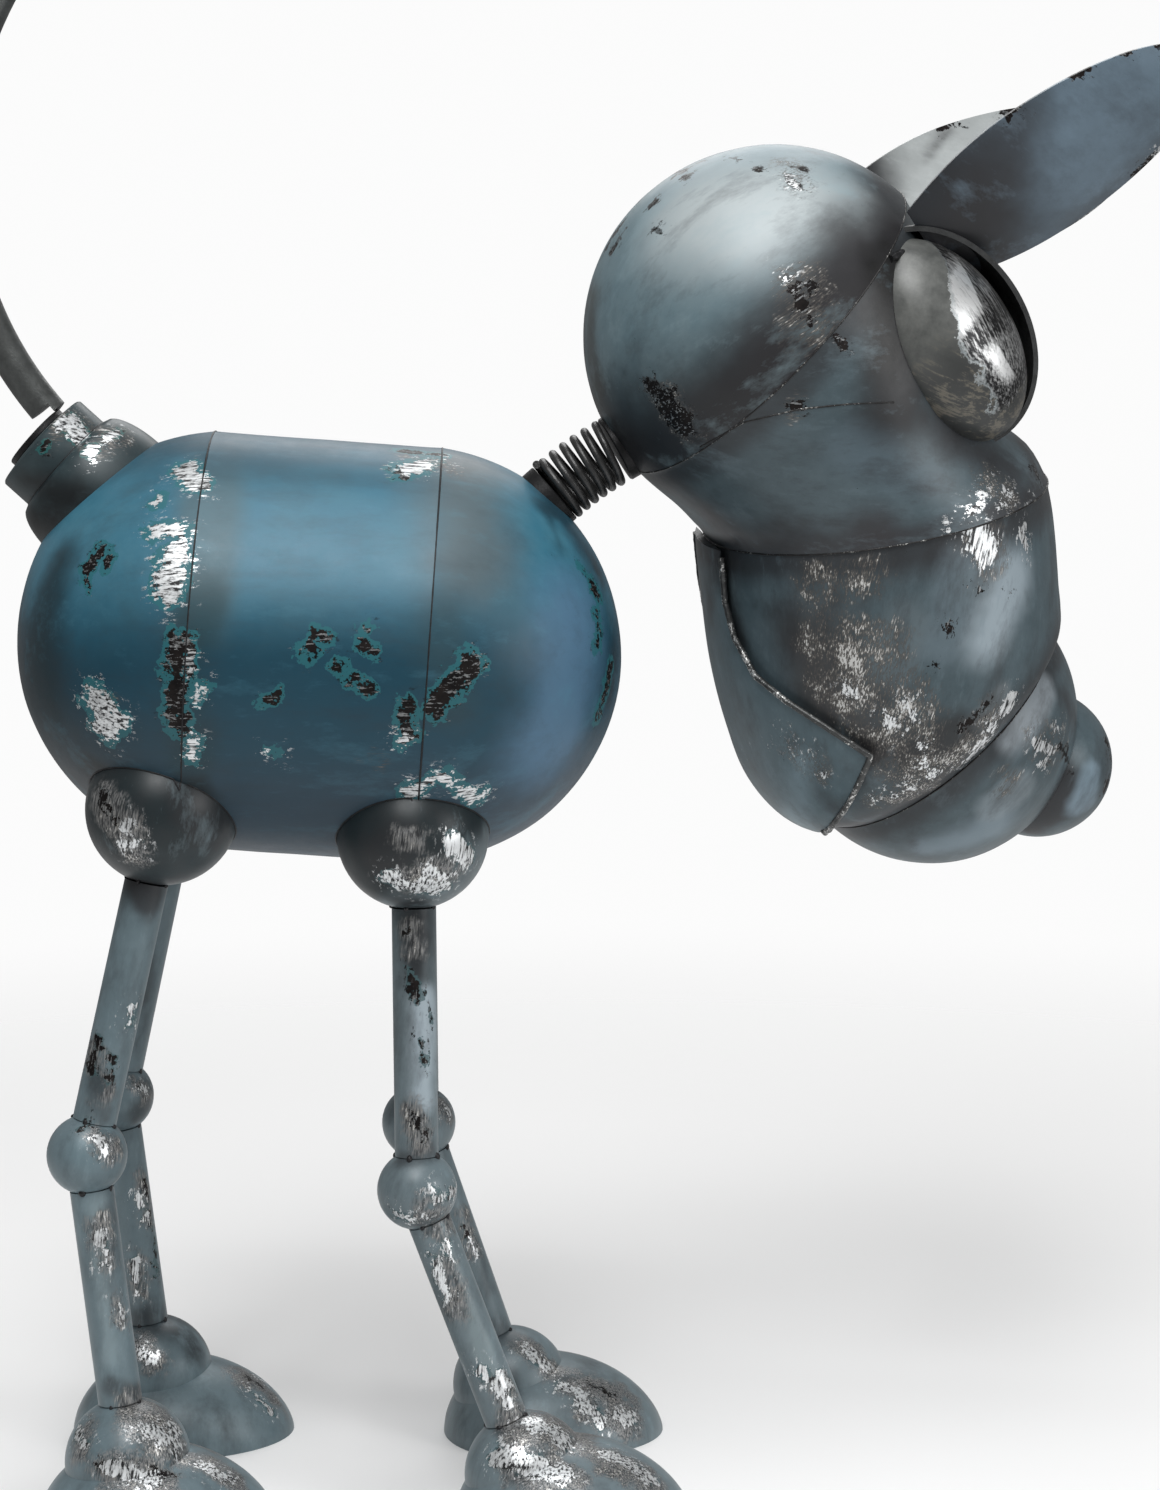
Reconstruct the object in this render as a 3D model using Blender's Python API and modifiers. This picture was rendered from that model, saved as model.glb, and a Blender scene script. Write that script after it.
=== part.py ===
"""A garden dog welded up from painted sheet steel, with a coil spring for a neck.

Round pressed shells make the body and the head, tubes and balls make the legs. The dog looks along
+X and stands on z = 0. Lengths are in metres and angles in degrees.
"""
import math

import bmesh
import bpy
from mathutils import Matrix, Vector

# Clearance left between pieces that touch, and the distance under which points are welded
GAP = 0.0003
WELD_DISTANCE = 0.00001

# Body: a barrel between two domes, its front end a little lower
BODY_HEIGHT = 0.507
BODY_PITCH = 4.2
BARREL_RADIUS = 0.124
BARREL_LENGTH = 0.134
REAR_DOME_DEPTH = 0.109
FRONT_DOME_DEPTH = 0.1156

# Tail flange on the rump: a bell, a short collar and a thin disc. The seam between bell and collar
# stands off the rear dome.
TAIL_PLACE = 131.92
TAIL_STAND = 0.01644
BELL_AIM = 137.5
BELL_FOOT_RADIUS = 0.0458
BELL_TOP_RADIUS = 0.0344
BELL_DEPTH = 0.045
BELL_SWELL = 0.032
RING_RADIUS = 0.0328
RING_DEPTH = 0.0193
RING_CROWN = 0.0017
CAP_RADIUS = 0.0209
CAP_THICKNESS = 0.0034

# Tail: a bent tube off the disc's middle, on a tongue that stands on the disc
TAIL_TUBE_RADIUS = 0.0107
TAIL_FOOT_RISE = 0.0061
TAIL_FOOT_OFFSET = 0.0164
TAIL_BEND_RADIUS = 0.2135
TAIL_FOOT_ANGLE = 219.6
TAIL_TIP_ANGLE = 125.0
TAIL_TONGUE = 0.007
TAIL_OVERRUN = 5.0

# Neck: a coil spring between two seats, sagging a little under the head
NECK_PLACE = 49.0
NECK_AIM_LOW = 41.4
NECK_AIM_HIGH = 29.5
SEAT_RADIUS = 0.0200
SEAT_HEIGHT = 0.0036
SEAT_ROOT = 0.0060
COIL_RADIUS = 0.0184
WIRE_RADIUS = 0.0024
COIL_LENGTH = 0.0382
COIL_TURNS = 5.5
COIL_START = 180.0
SKULL_SEAT_RADIUS = 0.0205
SKULL_SEAT_HEIGHT = 0.0090

# Head: how the skull stands on the neck, and the head's turn about the neck's line
SKULL_AIM = 35.34
SKULL_STAND = 0.0021
HEAD_TURN = 12.0
SKULL_RADIUS = 0.1128
SKULL_DEPTH = 0.1063

# Face and muzzle: bent shells, each fanned about a hinge line across the dog. The face's hinge lies
# in the skull's seam and the muzzle's in the seam between face and muzzle. A section is (angle at
# the hinge, distance to its near side, to its far side).
FACE_HINGE_REACH = 0.1994
FACE_SECTIONS = (
    (47.0, 0.0868, 0.3120),
    (40.0, 0.0874, 0.3046),
    (33.0, 0.0900, 0.2980),
    (25.0, 0.0950, 0.2895),
    (18.0, 0.1000, 0.2970),
    (14.5, 0.1034, 0.3095),
    (10.8, 0.1065, 0.3165),
)
FACE_HALF_WIDTHS = (0.1126, 0.1072)
HINGES_APART = 0.4541
MUZZLE_SECTIONS = (
    (10.8, 0.1376, 0.3477),
    (17.5, 0.1379, 0.3528),
    (24.0, 0.1411, 0.3608),
    (30.0, 0.1465, 0.3682),
    (34.5, 0.1520, 0.3735),
    (38.5, 0.1578, 0.3726),
    (41.3, 0.1643, 0.3668),
    (43.0, 0.1755, 0.3581),
)
MUZZLE_EXTRA_WIDTH = 0.0022

# Nose: a dome, and a ball sunk in it
NOSE_DEPTH = 0.0887
NOSE_BALL_RADIUS = 0.0468
NOSE_BALL_REACH = 0.0782
NOSE_BALL_AIM = -23.9

# Jaw: a plate round the throat side of the muzzle, its edge as seen from the side
JAW_THICKNESS = 0.0048
JAW_EDGE = (
    (-0.0350, -0.1250),
    (-0.0317, -0.1522),
    (-0.0267, -0.1722),
    (-0.0167, -0.1922),
    (-0.0017, -0.2032),
    (0.0173, -0.2142),
    (0.0433, -0.2302),
    (0.0403, -0.2432),
    (0.0333, -0.2790),
    (0.0323, -0.2952),
)

# Eyes: egg shapes set slantwise and sunk in the skull's ball, each under an open hood. A bearing is
# from straight ahead out to the side, a height is the angle above the skull's middle.
EYE_BEARING = 36.61
EYE_HEIGHT = 3.49
EYE_SINK = 0.0060
EYE_SLANT = 36.8
EYE_OUTWARD = 32.0
EYE_HALF_LENGTH = 0.0661
EYE_HALF_WIDTH = 0.0464
EYE_HALF_DEPTH = 0.0404
HOOD_CLEARANCE = 0.0075
HOOD_END_CLEARANCE = 0.0015
HOOD_LIFT = 0.0015
HOOD_WALL = 0.0030
HOOD_RIM_SIDE = 0.0640

# Ears: curved petals that open in a V; the left one hangs lower and leans out more. A place is
# (bearing, height, distance out from the skull's ball).
EAR_PLACES = {"right": (30.17, 33.37, 0.0123), "left": (33.94, 33.20, -0.0003)}
EAR_RISES = {"right": 35.5, "left": 18.0}
EAR_LEANS = {"right": 24.0, "left": 28.0}
EAR_SPLAY = 6.0
EAR_LENGTH = 0.173
EAR_ROOT = 0.016
EAR_HALF_WIDTH = 0.0455
EAR_ROOT_SHARE = 0.62
EAR_WIDEST = 0.41
EAR_TIP_HALF_WIDTH = 0.004
EAR_CUP = 0.0085
EAR_WALL = 0.0030

# Legs: each hip is sunk in the body a little behind the front seam or behind the rear one
HIP_SIDE = 0.062
FRONT_HIP_BACK = 0.0021
FRONT_HIP_SINK = 0.0084
REAR_HIP_BACK = 0.0128
REAR_HIP_SINK = 0.0128
# Middles of knee and ankle and the middle of the paw's sole. x is from the hip and y is the
# distance from the middle plane; the four legs differ a little.
LEGS = {
    "front_right": ((0.0015, 0.075, 0.196), (0.0651, 0.082, 0.027), (0.0805, 0.084, 0)),
    "front_left": ((0.0015, 0.075, 0.201), (0.0590, 0.073, 0.031), (0.0745, 0.075, 0)),
    "rear_right": ((-0.0450, 0.075, 0.219), (-0.0235, 0.082, 0.039), (-0.0185, 0.084, 0)),
    "rear_left": ((-0.0440, 0.075, 0.220), (-0.0235, 0.082, 0.039), (-0.0175, 0.084, 0)),
}
HIP_RADIUS = 0.0445
TUBE_RADIUS = 0.0127
KNEE_RADIUS = 0.0234
ANKLE_RADIUS = 0.0368
PAW_HEEL = 0.058
PAW_TOE = 0.082
PAW_HALF_WIDTH = 0.060
PAW_HEIGHT = 0.049
PAW_TOE_SLOPE = 1.25

# How finely the round pieces are divided
SHELL_SIDES = 32
HEAD_SIDES = 30
DOME_RINGS = 7
SMALL_SIDES = 18
BALL_SIDES = 12
BALL_RINGS = 8
NOSE_BALL_RINGS = 10
BELL_RINGS = 6
EYE_SIDES = 14
EYE_RINGS = 10
TUBE_SIDES = 10
PAW_SIDES = 16
PAW_RINGS = 10
EAR_ROWS = 9
EAR_COLUMNS = 4
EAR_CROWDING = 1.5
TAIL_POINTS = 20
TURN_POINTS = 10
NECK_STEPS = 64

PAINTS = {
    "body": ((0.045, 0.130, 0.185), 0.42, 0.15),
    "head": ((0.130, 0.190, 0.225), 0.42, 0.20),
    "legs": ((0.120, 0.165, 0.185), 0.45, 0.20),
    "ears": ((0.110, 0.160, 0.190), 0.48, 0.15),
    "eyes": ((0.330, 0.350, 0.350), 0.30, 0.75),
    "tail": ((0.055, 0.055, 0.050), 0.40, 0.30),
    "steel": ((0.060, 0.058, 0.055), 0.38, 0.85),
}


def new_collection(name):
    collection = bpy.data.collections.new(name)
    bpy.context.scene.collection.children.link(collection)
    return collection


def paint(name, kind):
    colour, roughness, metallic = PAINTS[kind]
    material = bpy.data.materials.new(name)
    material.use_nodes = True
    shader = material.node_tree.nodes["Principled BSDF"]
    shader.inputs["Base Color"].default_value = (*colour, 1.0)
    shader.inputs["Roughness"].default_value = roughness
    shader.inputs["Metallic"].default_value = metallic
    return material


def place(obj, parent, location=(0, 0, 0), rotation=None):
    obj.parent = parent
    obj.location = location
    if rotation is not None:
        obj.rotation_euler = rotation.to_euler()
    return obj


def piece(name, mesh, kind, parent, location=(0, 0, 0), rotation=None):
    """One real piece of the dog."""
    mesh.shade_smooth()
    mesh.set_sharp_from_angle(angle=math.radians(35))
    obj = bpy.data.objects.new(name, mesh)
    obj.data.materials.append(paint(name, kind))
    DOG.objects.link(obj)
    return place(obj, parent, location, rotation)


def cutter(name, mesh, parent, location=(0, 0, 0), rotation=None):
    """A shape that only cuts others."""
    obj = bpy.data.objects.new(name, mesh)
    obj.hide_render = True
    obj.display_type = "WIRE"
    CUTTERS.objects.link(obj)
    return place(obj, parent, location, rotation)


def empty(name, parent=None, location=(0, 0, 0)):
    obj = bpy.data.objects.new(name, None)
    obj.empty_display_size = 0.05
    DOG.objects.link(obj)
    return place(obj, parent, location)


def cut(obj, *tools, operation="DIFFERENCE"):
    for tool in tools:
        boolean = obj.modifiers.new(operation.title() + " " + tool.name, "BOOLEAN")
        boolean.solver = "EXACT"
        boolean.operation = operation
        boolean.object = tool
    return obj


def closed_mesh(name, bm):
    """Turns a bmesh into a mesh whose faces all point out."""
    bmesh.ops.recalc_face_normals(bm, faces=bm.faces)
    mesh = bpy.data.meshes.new(name)
    bm.to_mesh(mesh)
    bm.free()
    return mesh


def profile_mesh(name, profile):
    """A line through (radius, height) points, to be turned about z."""
    mesh = bpy.data.meshes.new(name)
    points = [(radius, 0.0, height) for radius, height in profile]
    mesh.from_pydata(points, [(i, i + 1) for i in range(len(points) - 1)], [])
    return mesh


def turn(obj, steps):
    screw = obj.modifiers.new("Turn", "SCREW")
    screw.axis = "Z"
    screw.angle = math.tau
    screw.steps = steps
    screw.render_steps = steps
    screw.use_merge_vertices = True
    screw.merge_threshold = 0.0001
    screw.use_smooth_shade = True
    return obj


def turned_piece(name, profile, steps, kind, parent, location=(0, 0, 0), rotation=None):
    mesh = profile_mesh(name, profile)
    return turn(piece(name, mesh, kind, parent, location, rotation), steps)


def turned_cutter(name, profile, steps, parent, location=(0, 0, 0), rotation=None):
    mesh = profile_mesh(name, profile)
    return turn(cutter(name, mesh, parent, location, rotation), steps)


def ball_mesh(name, radii, sides=BALL_SIDES, rings=BALL_RINGS):
    """A ball, or an ellipsoid where the three radii differ."""
    bm = bmesh.new()
    bmesh.ops.create_uvsphere(bm, u_segments=sides, v_segments=rings, radius=1.0)
    bmesh.ops.scale(bm, vec=radii, verts=bm.verts)
    return closed_mesh(name, bm)


def slab_mesh(name, low, high):
    """A plain block between two corners."""
    bm = bmesh.new()
    bmesh.ops.create_cube(bm, size=1.0)
    low, high = Vector(low), Vector(high)
    bmesh.ops.scale(bm, vec=high - low, verts=bm.verts)
    bmesh.ops.translate(bm, vec=(low + high) / 2, verts=bm.verts)
    return closed_mesh(name, bm)


def loft_mesh(name, rings):
    """A closed solid through rings that have the same number of points."""
    bm = bmesh.new()
    rows = [[bm.verts.new(point) for point in ring] for ring in rings]
    count = len(rows[0])
    for lower, upper in zip(rows, rows[1:]):
        for i in range(count):
            j = (i + 1) % count
            bm.faces.new((lower[i], lower[j], upper[j], upper[i]))
    bm.faces.new(rows[0])
    bm.faces.new(rows[-1])
    return closed_mesh(name, bm)


def in_plane(angle):
    """The direction in the xz plane that makes this angle with +X."""
    return Vector((math.cos(math.radians(angle)), 0.0, math.sin(math.radians(angle))))


def aim(angle):
    """The rotation that takes +Z to a direction in the xz plane and leaves +Y alone."""
    return Matrix.Rotation(math.radians(90.0 - angle), 3, "Y")


def cap_radius(base_radius, depth):
    return (base_radius**2 + depth**2) / (2 * depth)


def dome_arc(base_radius, depth, rings=DOME_RINGS):
    """Profile of a dome from its pole down to its rim, which is at height 0."""
    radius = cap_radius(base_radius, depth)
    middle = depth - radius
    last = math.acos(-middle / radius)
    return [
        (radius * math.sin(last * i / rings), middle + radius * math.cos(last * i / rings))
        for i in range(rings + 1)
    ]


def dome_profile(base_radius, depth, rings=DOME_RINGS):
    return dome_arc(base_radius, depth, rings) + [(0.0, 0.0)]


def body_profile(grow):
    """Barrel and both domes as one shape, from the front pole to the rear pole."""
    half = BARREL_LENGTH / 2
    front = dome_arc(BARREL_RADIUS + grow, FRONT_DOME_DEPTH + grow)
    rear = dome_arc(BARREL_RADIUS + grow, REAR_DOME_DEPTH + grow)
    upper = [(radius, half + height) for radius, height in front]
    lower = [(radius, -half - height) for radius, height in reversed(rear)]
    return upper + lower


def make_body(root):
    body_aim = -BODY_PITCH
    middle = Vector((0.0, 0.0, BODY_HEIGHT))
    forward = in_plane(body_aim)
    front_seam = middle + forward * (BARREL_LENGTH / 2 + GAP / 2)
    rear_seam = middle - forward * (BARREL_LENGTH / 2 + GAP / 2)
    half = (BARREL_LENGTH - GAP) / 2
    barrel = [(0.0, half), (BARREL_RADIUS, half), (BARREL_RADIUS, -half), (0.0, -half)]
    turned_piece("barrel", barrel, SHELL_SIDES, "body", root, middle, aim(body_aim))
    front = dome_profile(BARREL_RADIUS, FRONT_DOME_DEPTH)
    rear = dome_profile(BARREL_RADIUS, REAR_DOME_DEPTH)
    turned_piece("front_dome", front, SHELL_SIDES, "body", root, front_seam, aim(body_aim))
    rear_turn = aim(body_aim + 180.0)
    turned_piece("rear_dome", rear, SHELL_SIDES, "body", root, rear_seam, rear_turn)
    whole = turned_cutter(
        "body_outline", body_profile(GAP), SHELL_SIDES, root, middle, aim(body_aim)
    )
    front_radius = cap_radius(BARREL_RADIUS, FRONT_DOME_DEPTH)
    front_middle = front_seam + forward * (FRONT_DOME_DEPTH - front_radius)
    rear_radius = cap_radius(BARREL_RADIUS, REAR_DOME_DEPTH)
    rear_middle = rear_seam - forward * (REAR_DOME_DEPTH - rear_radius)
    return whole, (front_middle, front_radius), (rear_middle, rear_radius)


def make_tail(root, body_outline, rear_ball):
    rump, rump_radius = rear_ball
    seam = rump + in_plane(TAIL_PLACE) * (rump_radius + TAIL_STAND)
    out = in_plane(BELL_AIM)
    turn_out = aim(BELL_AIM)
    bell = [(0.0, 0.0)]
    for i in range(BELL_RINGS + 1):
        share = i / BELL_RINGS
        swell = math.sqrt(1 - (1 - share) ** 2)
        width = BELL_TOP_RADIUS + (BELL_FOOT_RADIUS - BELL_TOP_RADIUS) * swell
        bell.append((width, -BELL_SWELL * share))
    bell.append((BELL_FOOT_RADIUS, -BELL_DEPTH))
    bell.append((0.0, -BELL_DEPTH))
    cut(
        turned_piece("tail_bell", bell, SMALL_SIDES, "body", root, seam, turn_out),
        body_outline,
    )
    crown = RING_DEPTH + RING_CROWN
    cap_low = crown + GAP
    cap_high = cap_low + CAP_THICKNESS
    ring = [(0.0, crown), (CAP_RADIUS, crown), (RING_RADIUS, RING_DEPTH)]
    ring.extend([(RING_RADIUS, GAP), (0.0, GAP)])
    turned_piece("tail_ring", ring, SMALL_SIDES, "body", root, seam, turn_out)
    cap = [(0.0, cap_high), (CAP_RADIUS, cap_high), (CAP_RADIUS, cap_low), (0.0, cap_low)]
    turned_piece("tail_cap", cap, SMALL_SIDES, "steel", root, seam, turn_out)

    # The bent tube is swept a little past its foot and trimmed to the disc
    across = in_plane(BELL_AIM - 90.0)
    foot = seam + out * (cap_high + TAIL_FOOT_RISE) + across * TAIL_FOOT_OFFSET
    bend = foot - in_plane(TAIL_FOOT_ANGLE) * TAIL_BEND_RADIUS
    start = TAIL_FOOT_ANGLE + TAIL_OVERRUN
    curve = bpy.data.curves.new("tail", "CURVE")
    curve.dimensions = "3D"
    curve.bevel_depth = TAIL_TUBE_RADIUS
    curve.bevel_resolution = 2
    curve.resolution_u = 1
    curve.use_fill_caps = True
    spline = curve.splines.new("POLY")
    spline.points.add(TAIL_POINTS - 1)
    for i, point in enumerate(spline.points):
        angle = start + (TAIL_TIP_ANGLE - start) * i / (TAIL_POINTS - 1)
        point.co = (*(bend + in_plane(angle) * TAIL_BEND_RADIUS), 1.0)
    path = bpy.data.objects.new("tail_path", curve)
    DOG.objects.link(path)
    bpy.context.view_layer.update()
    graph = bpy.context.evaluated_depsgraph_get()
    mesh = bpy.data.meshes.new_from_object(path.evaluated_get(graph))
    bpy.data.objects.remove(path)
    mesh.materials.clear()
    bm = bmesh.new()
    bm.from_mesh(mesh)
    bmesh.ops.remove_doubles(bm, verts=bm.verts, dist=WELD_DISTANCE)
    tail = piece("tail", closed_mesh("tail", bm), "tail", root)

    # Past the foot only a tongue on the tube's inner side goes on to the disc
    wide = 3 * TAIL_TUBE_RADIUS
    below = slab_mesh("tail_trim", (-wide, -wide, -wide), (wide, wide, 0.0))
    trim = cutter("tail_trim", below, root, seam + out * (cap_high + GAP), turn_out)
    reach = TAIL_TUBE_RADIUS - TAIL_TONGUE
    notch_mesh = slab_mesh("tail_notch", (-wide, -wide, -wide), (reach, wide, 0.0))
    notch = cutter("tail_notch", notch_mesh, root, foot, aim(TAIL_FOOT_ANGLE - 90.0))
    cut(tail, trim, notch)


def neck_path(front_ball):
    """Foot of the neck on the body, and points and headings along the spring's bent middle."""
    centre, radius = front_ball
    foot = centre + in_plane(NECK_PLACE) * radius
    start = foot + in_plane(NECK_AIM_LOW) * (SEAT_HEIGHT + GAP + WIRE_RADIUS)
    points = [start]
    for i in range(NECK_STEPS):
        heading = NECK_AIM_LOW + (NECK_AIM_HIGH - NECK_AIM_LOW) * (i + 0.5) / NECK_STEPS
        points.append(points[-1] + in_plane(heading) * COIL_LENGTH / NECK_STEPS)
    return foot, points


def neck_top(path):
    """Where the upper seat starts, a wire's thickness past the spring's middle line."""
    return path[-1] + in_plane(NECK_AIM_HIGH) * (WIRE_RADIUS + GAP)


def make_neck(root, head, body_outline, head_outlines, foot, path, pivot):
    low, high = -SEAT_ROOT, SEAT_HEIGHT
    seat = [(0.0, high), (SEAT_RADIUS, high), (SEAT_RADIUS, low), (0.0, low)]
    base = turned_piece(
        "neck_base", seat, SMALL_SIDES, "steel", root, foot, aim(NECK_AIM_LOW)
    )
    cut(base, body_outline)

    curve = bpy.data.curves.new("neck_spring", "CURVE")
    curve.dimensions = "3D"
    curve.bevel_depth = WIRE_RADIUS
    curve.bevel_resolution = 2
    curve.resolution_u = 1
    curve.use_fill_caps = True
    curve.materials.append(paint("neck_spring", "steel"))
    spline = curve.splines.new("POLY")
    points = int(COIL_TURNS * TURN_POINTS) + 1
    spline.points.add(points - 1)
    for i, point in enumerate(spline.points):
        share = i / (points - 1)
        along = share * (len(path) - 1)
        k = min(int(along), len(path) - 2)
        centre = path[k].lerp(path[k + 1], along - k)
        heading = NECK_AIM_LOW + (NECK_AIM_HIGH - NECK_AIM_LOW) * share
        angle = math.radians(COIL_START) + math.tau * COIL_TURNS * share
        outward = in_plane(heading + 90.0) * math.cos(angle) + Vector((0, math.sin(angle), 0))
        point.co = (*(centre + outward * COIL_RADIUS), 1.0)
    spring = bpy.data.objects.new("neck_spring", curve)
    DOG.objects.link(spring)
    place(spring, root)

    # The upper seat follows the head's turn, so it is placed from the pivot
    top = neck_top(path)
    rise = SKULL_SEAT_HEIGHT
    upper = [(0.0, rise), (SKULL_SEAT_RADIUS, rise), (SKULL_SEAT_RADIUS, 0.0), (0.0, 0.0)]
    cap = turned_piece(
        "neck_cap", upper, SMALL_SIDES, "steel", head, top - pivot, aim(NECK_AIM_HIGH)
    )
    cut(cap, *head_outlines)


# From here to make_ear() every place is measured from the skull's middle, before the head's turn


def seam_ring(centre, heading, in_radius, side_radius):
    """Points of an ellipse in a plane square to a heading in the xz plane."""
    across = in_plane(heading + 90.0)
    ring = []
    for i in range(HEAD_SIDES):
        angle = math.tau * i / HEAD_SIDES
        offset = across * (in_radius * math.cos(angle))
        ring.append(centre + offset + Vector((0, -side_radius * math.sin(angle), 0)))
    return ring


def brow_seam():
    return in_plane(FACE_SECTIONS[0][0] - 90.0) * (SKULL_DEPTH - SKULL_RADIUS)


def brow_radius():
    return math.sqrt(SKULL_RADIUS**2 - (SKULL_RADIUS - SKULL_DEPTH) ** 2)


def face_hinge():
    return brow_seam() - in_plane(FACE_SECTIONS[0][0]) * FACE_HINGE_REACH


def muzzle_hinge():
    return face_hinge() + in_plane(MUZZLE_SECTIONS[0][0]) * HINGES_APART


def on_skull(bearing, height, out, side):
    """A point off the skull's ball, on the right side (-1) or the left (+1)."""
    bearing, height = math.radians(bearing), math.radians(height)
    level = math.cos(height)
    heading = (level * math.cos(bearing), side * level * math.sin(bearing), math.sin(height))
    return Vector(heading) * (SKULL_RADIUS + out)


def fan_ring(hinge, section, way, side_radius, grow):
    """The ring of one section. way is +1 or -1 along the section's angle, away from the hinge."""
    angle, near, far = section
    centre = hinge + in_plane(angle) * (way * (near + far) / 2)
    return seam_ring(centre, angle - 90.0, (far - near) / 2 + grow, side_radius + grow)


def shift(ring, vector):
    return [point + vector for point in ring]


def face_rings(grow, start_gap, stop_gap):
    first, last = FACE_SECTIONS[0], FACE_SECTIONS[-1]
    rings = []
    for section in FACE_SECTIONS:
        share = (section[0] - first[0]) / (last[0] - first[0])
        width = FACE_HALF_WIDTHS[0] + (FACE_HALF_WIDTHS[1] - FACE_HALF_WIDTHS[0]) * share
        rings.append(fan_ring(face_hinge(), section, 1, width, grow))
    rings[0] = shift(rings[0], in_plane(first[0] - 90.0) * start_gap)
    rings[-1] = shift(rings[-1], in_plane(last[0] - 90.0) * -stop_gap)
    return rings


def muzzle_rings(grow, stop_gap):
    first, last = MUZZLE_SECTIONS[0], MUZZLE_SECTIONS[-1]
    rings = []
    for section in MUZZLE_SECTIONS:
        share = (section[0] - first[0]) / (last[0] - first[0])
        width = (section[2] - section[1]) / 2 + MUZZLE_EXTRA_WIDTH * (1 - share)
        rings.append(fan_ring(muzzle_hinge(), section, -1, width, grow))
    rings[-1] = shift(rings[-1], in_plane(last[0] - 90.0) * -stop_gap)
    return rings


def nose_seam():
    """Middle, heading and radius of the seam between muzzle and nose."""
    angle, near, far = MUZZLE_SECTIONS[-1]
    middle = muzzle_hinge() - in_plane(angle) * ((near + far) / 2)
    return middle, angle - 90.0, (far - near) / 2


def jaw_outline():
    """Side view of the jaw's plate: its edge from the throat to the chin, then far round behind."""
    throat, chin = JAW_EDGE[0], JAW_EDGE[-1]
    clear = FACE_HALF_WIDTHS[0]
    behind, above, below = -clear, throat[1] + clear, chin[1] - clear
    round_behind = ((chin[0], below), (behind, below), (behind, above), (throat[0], above))
    return [Vector((x, 0, z)) for x, z in JAW_EDGE + round_behind]


def prism_mesh(name, outline, half_depth):
    """An outline in the xz plane carried sideways both ways."""
    front = [point + Vector((0, -half_depth, 0)) for point in outline]
    back = [point + Vector((0, half_depth, 0)) for point in outline]
    return loft_mesh(name, [front, back])


def eye_turn(side):
    """Columns are the eye's width, length and depth directions. side is -1 right and +1 left."""
    length = in_plane(90.0 + EYE_SLANT)
    across = in_plane(EYE_SLANT)
    outward = math.radians(EYE_OUTWARD)
    aside = Vector((0, side, 0))
    depth = across * math.cos(outward) + aside * math.sin(outward)
    width = depth.cross(length)
    return Matrix((width, depth.cross(width), depth)).transposed()


def make_head(head, skull_at):
    brow_aim = FACE_SECTIONS[0][0] - 90.0
    brow_turn = aim(brow_aim + 180.0)
    skull = dome_profile(brow_radius(), SKULL_DEPTH)
    at = skull_at + brow_seam()
    turned_piece("skull", skull, HEAD_SIDES, "head", head, at, brow_turn)
    grown = dome_profile(brow_radius() + GAP, SKULL_DEPTH + GAP)
    skull_outline = turned_cutter(
        "skull_outline", grown, HEAD_SIDES, head, at + in_plane(brow_aim) * GAP, brow_turn
    )

    face = loft_mesh("face", face_rings(0.0, GAP, GAP))
    piece("face", face, "head", head, skull_at)
    face_outline = cutter(
        "face_outline", loft_mesh("face_outline", face_rings(GAP, 0.0, 0.0)), head, skull_at
    )

    piece("muzzle", loft_mesh("muzzle", muzzle_rings(0.0, GAP)), "head", head, skull_at)
    inner = cutter(
        "jaw_inside", loft_mesh("jaw_inside", muzzle_rings(GAP, -GAP)), head, skull_at
    )
    outer = loft_mesh("jaw", muzzle_rings(GAP + JAW_THICKNESS, GAP))
    side_view = cutter(
        "jaw_side_view", prism_mesh("jaw_side_view", jaw_outline(), 2 * FACE_HALF_WIDTHS[0]), head, skull_at
    )
    jaw = piece("jaw", outer, "head", head, skull_at)
    cut(jaw, side_view, operation="INTERSECT")
    cut(jaw, inner)

    seam, nose_aim, seam_radius = nose_seam()
    seam = skull_at + seam
    nose_turn = aim(nose_aim)
    nose = dome_profile(seam_radius, NOSE_DEPTH)
    turned_piece("nose_dome", nose, HEAD_SIDES, "head", head, seam, nose_turn)
    grown = dome_profile(seam_radius + GAP, NOSE_DEPTH + GAP)
    nose_outline = turned_cutter("nose_outline", grown, HEAD_SIDES, head, seam, nose_turn)
    nose_radius = cap_radius(seam_radius, NOSE_DEPTH)
    nose_middle = seam + in_plane(nose_aim) * (NOSE_DEPTH - nose_radius)
    ball_at = nose_middle + in_plane(NOSE_BALL_AIM) * NOSE_BALL_REACH
    ball = ball_mesh("nose_ball", (NOSE_BALL_RADIUS,) * 3, SMALL_SIDES, NOSE_BALL_RINGS)
    cut(piece("nose_ball", ball, "head", head, ball_at), nose_outline)
    return skull_outline, face_outline


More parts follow.
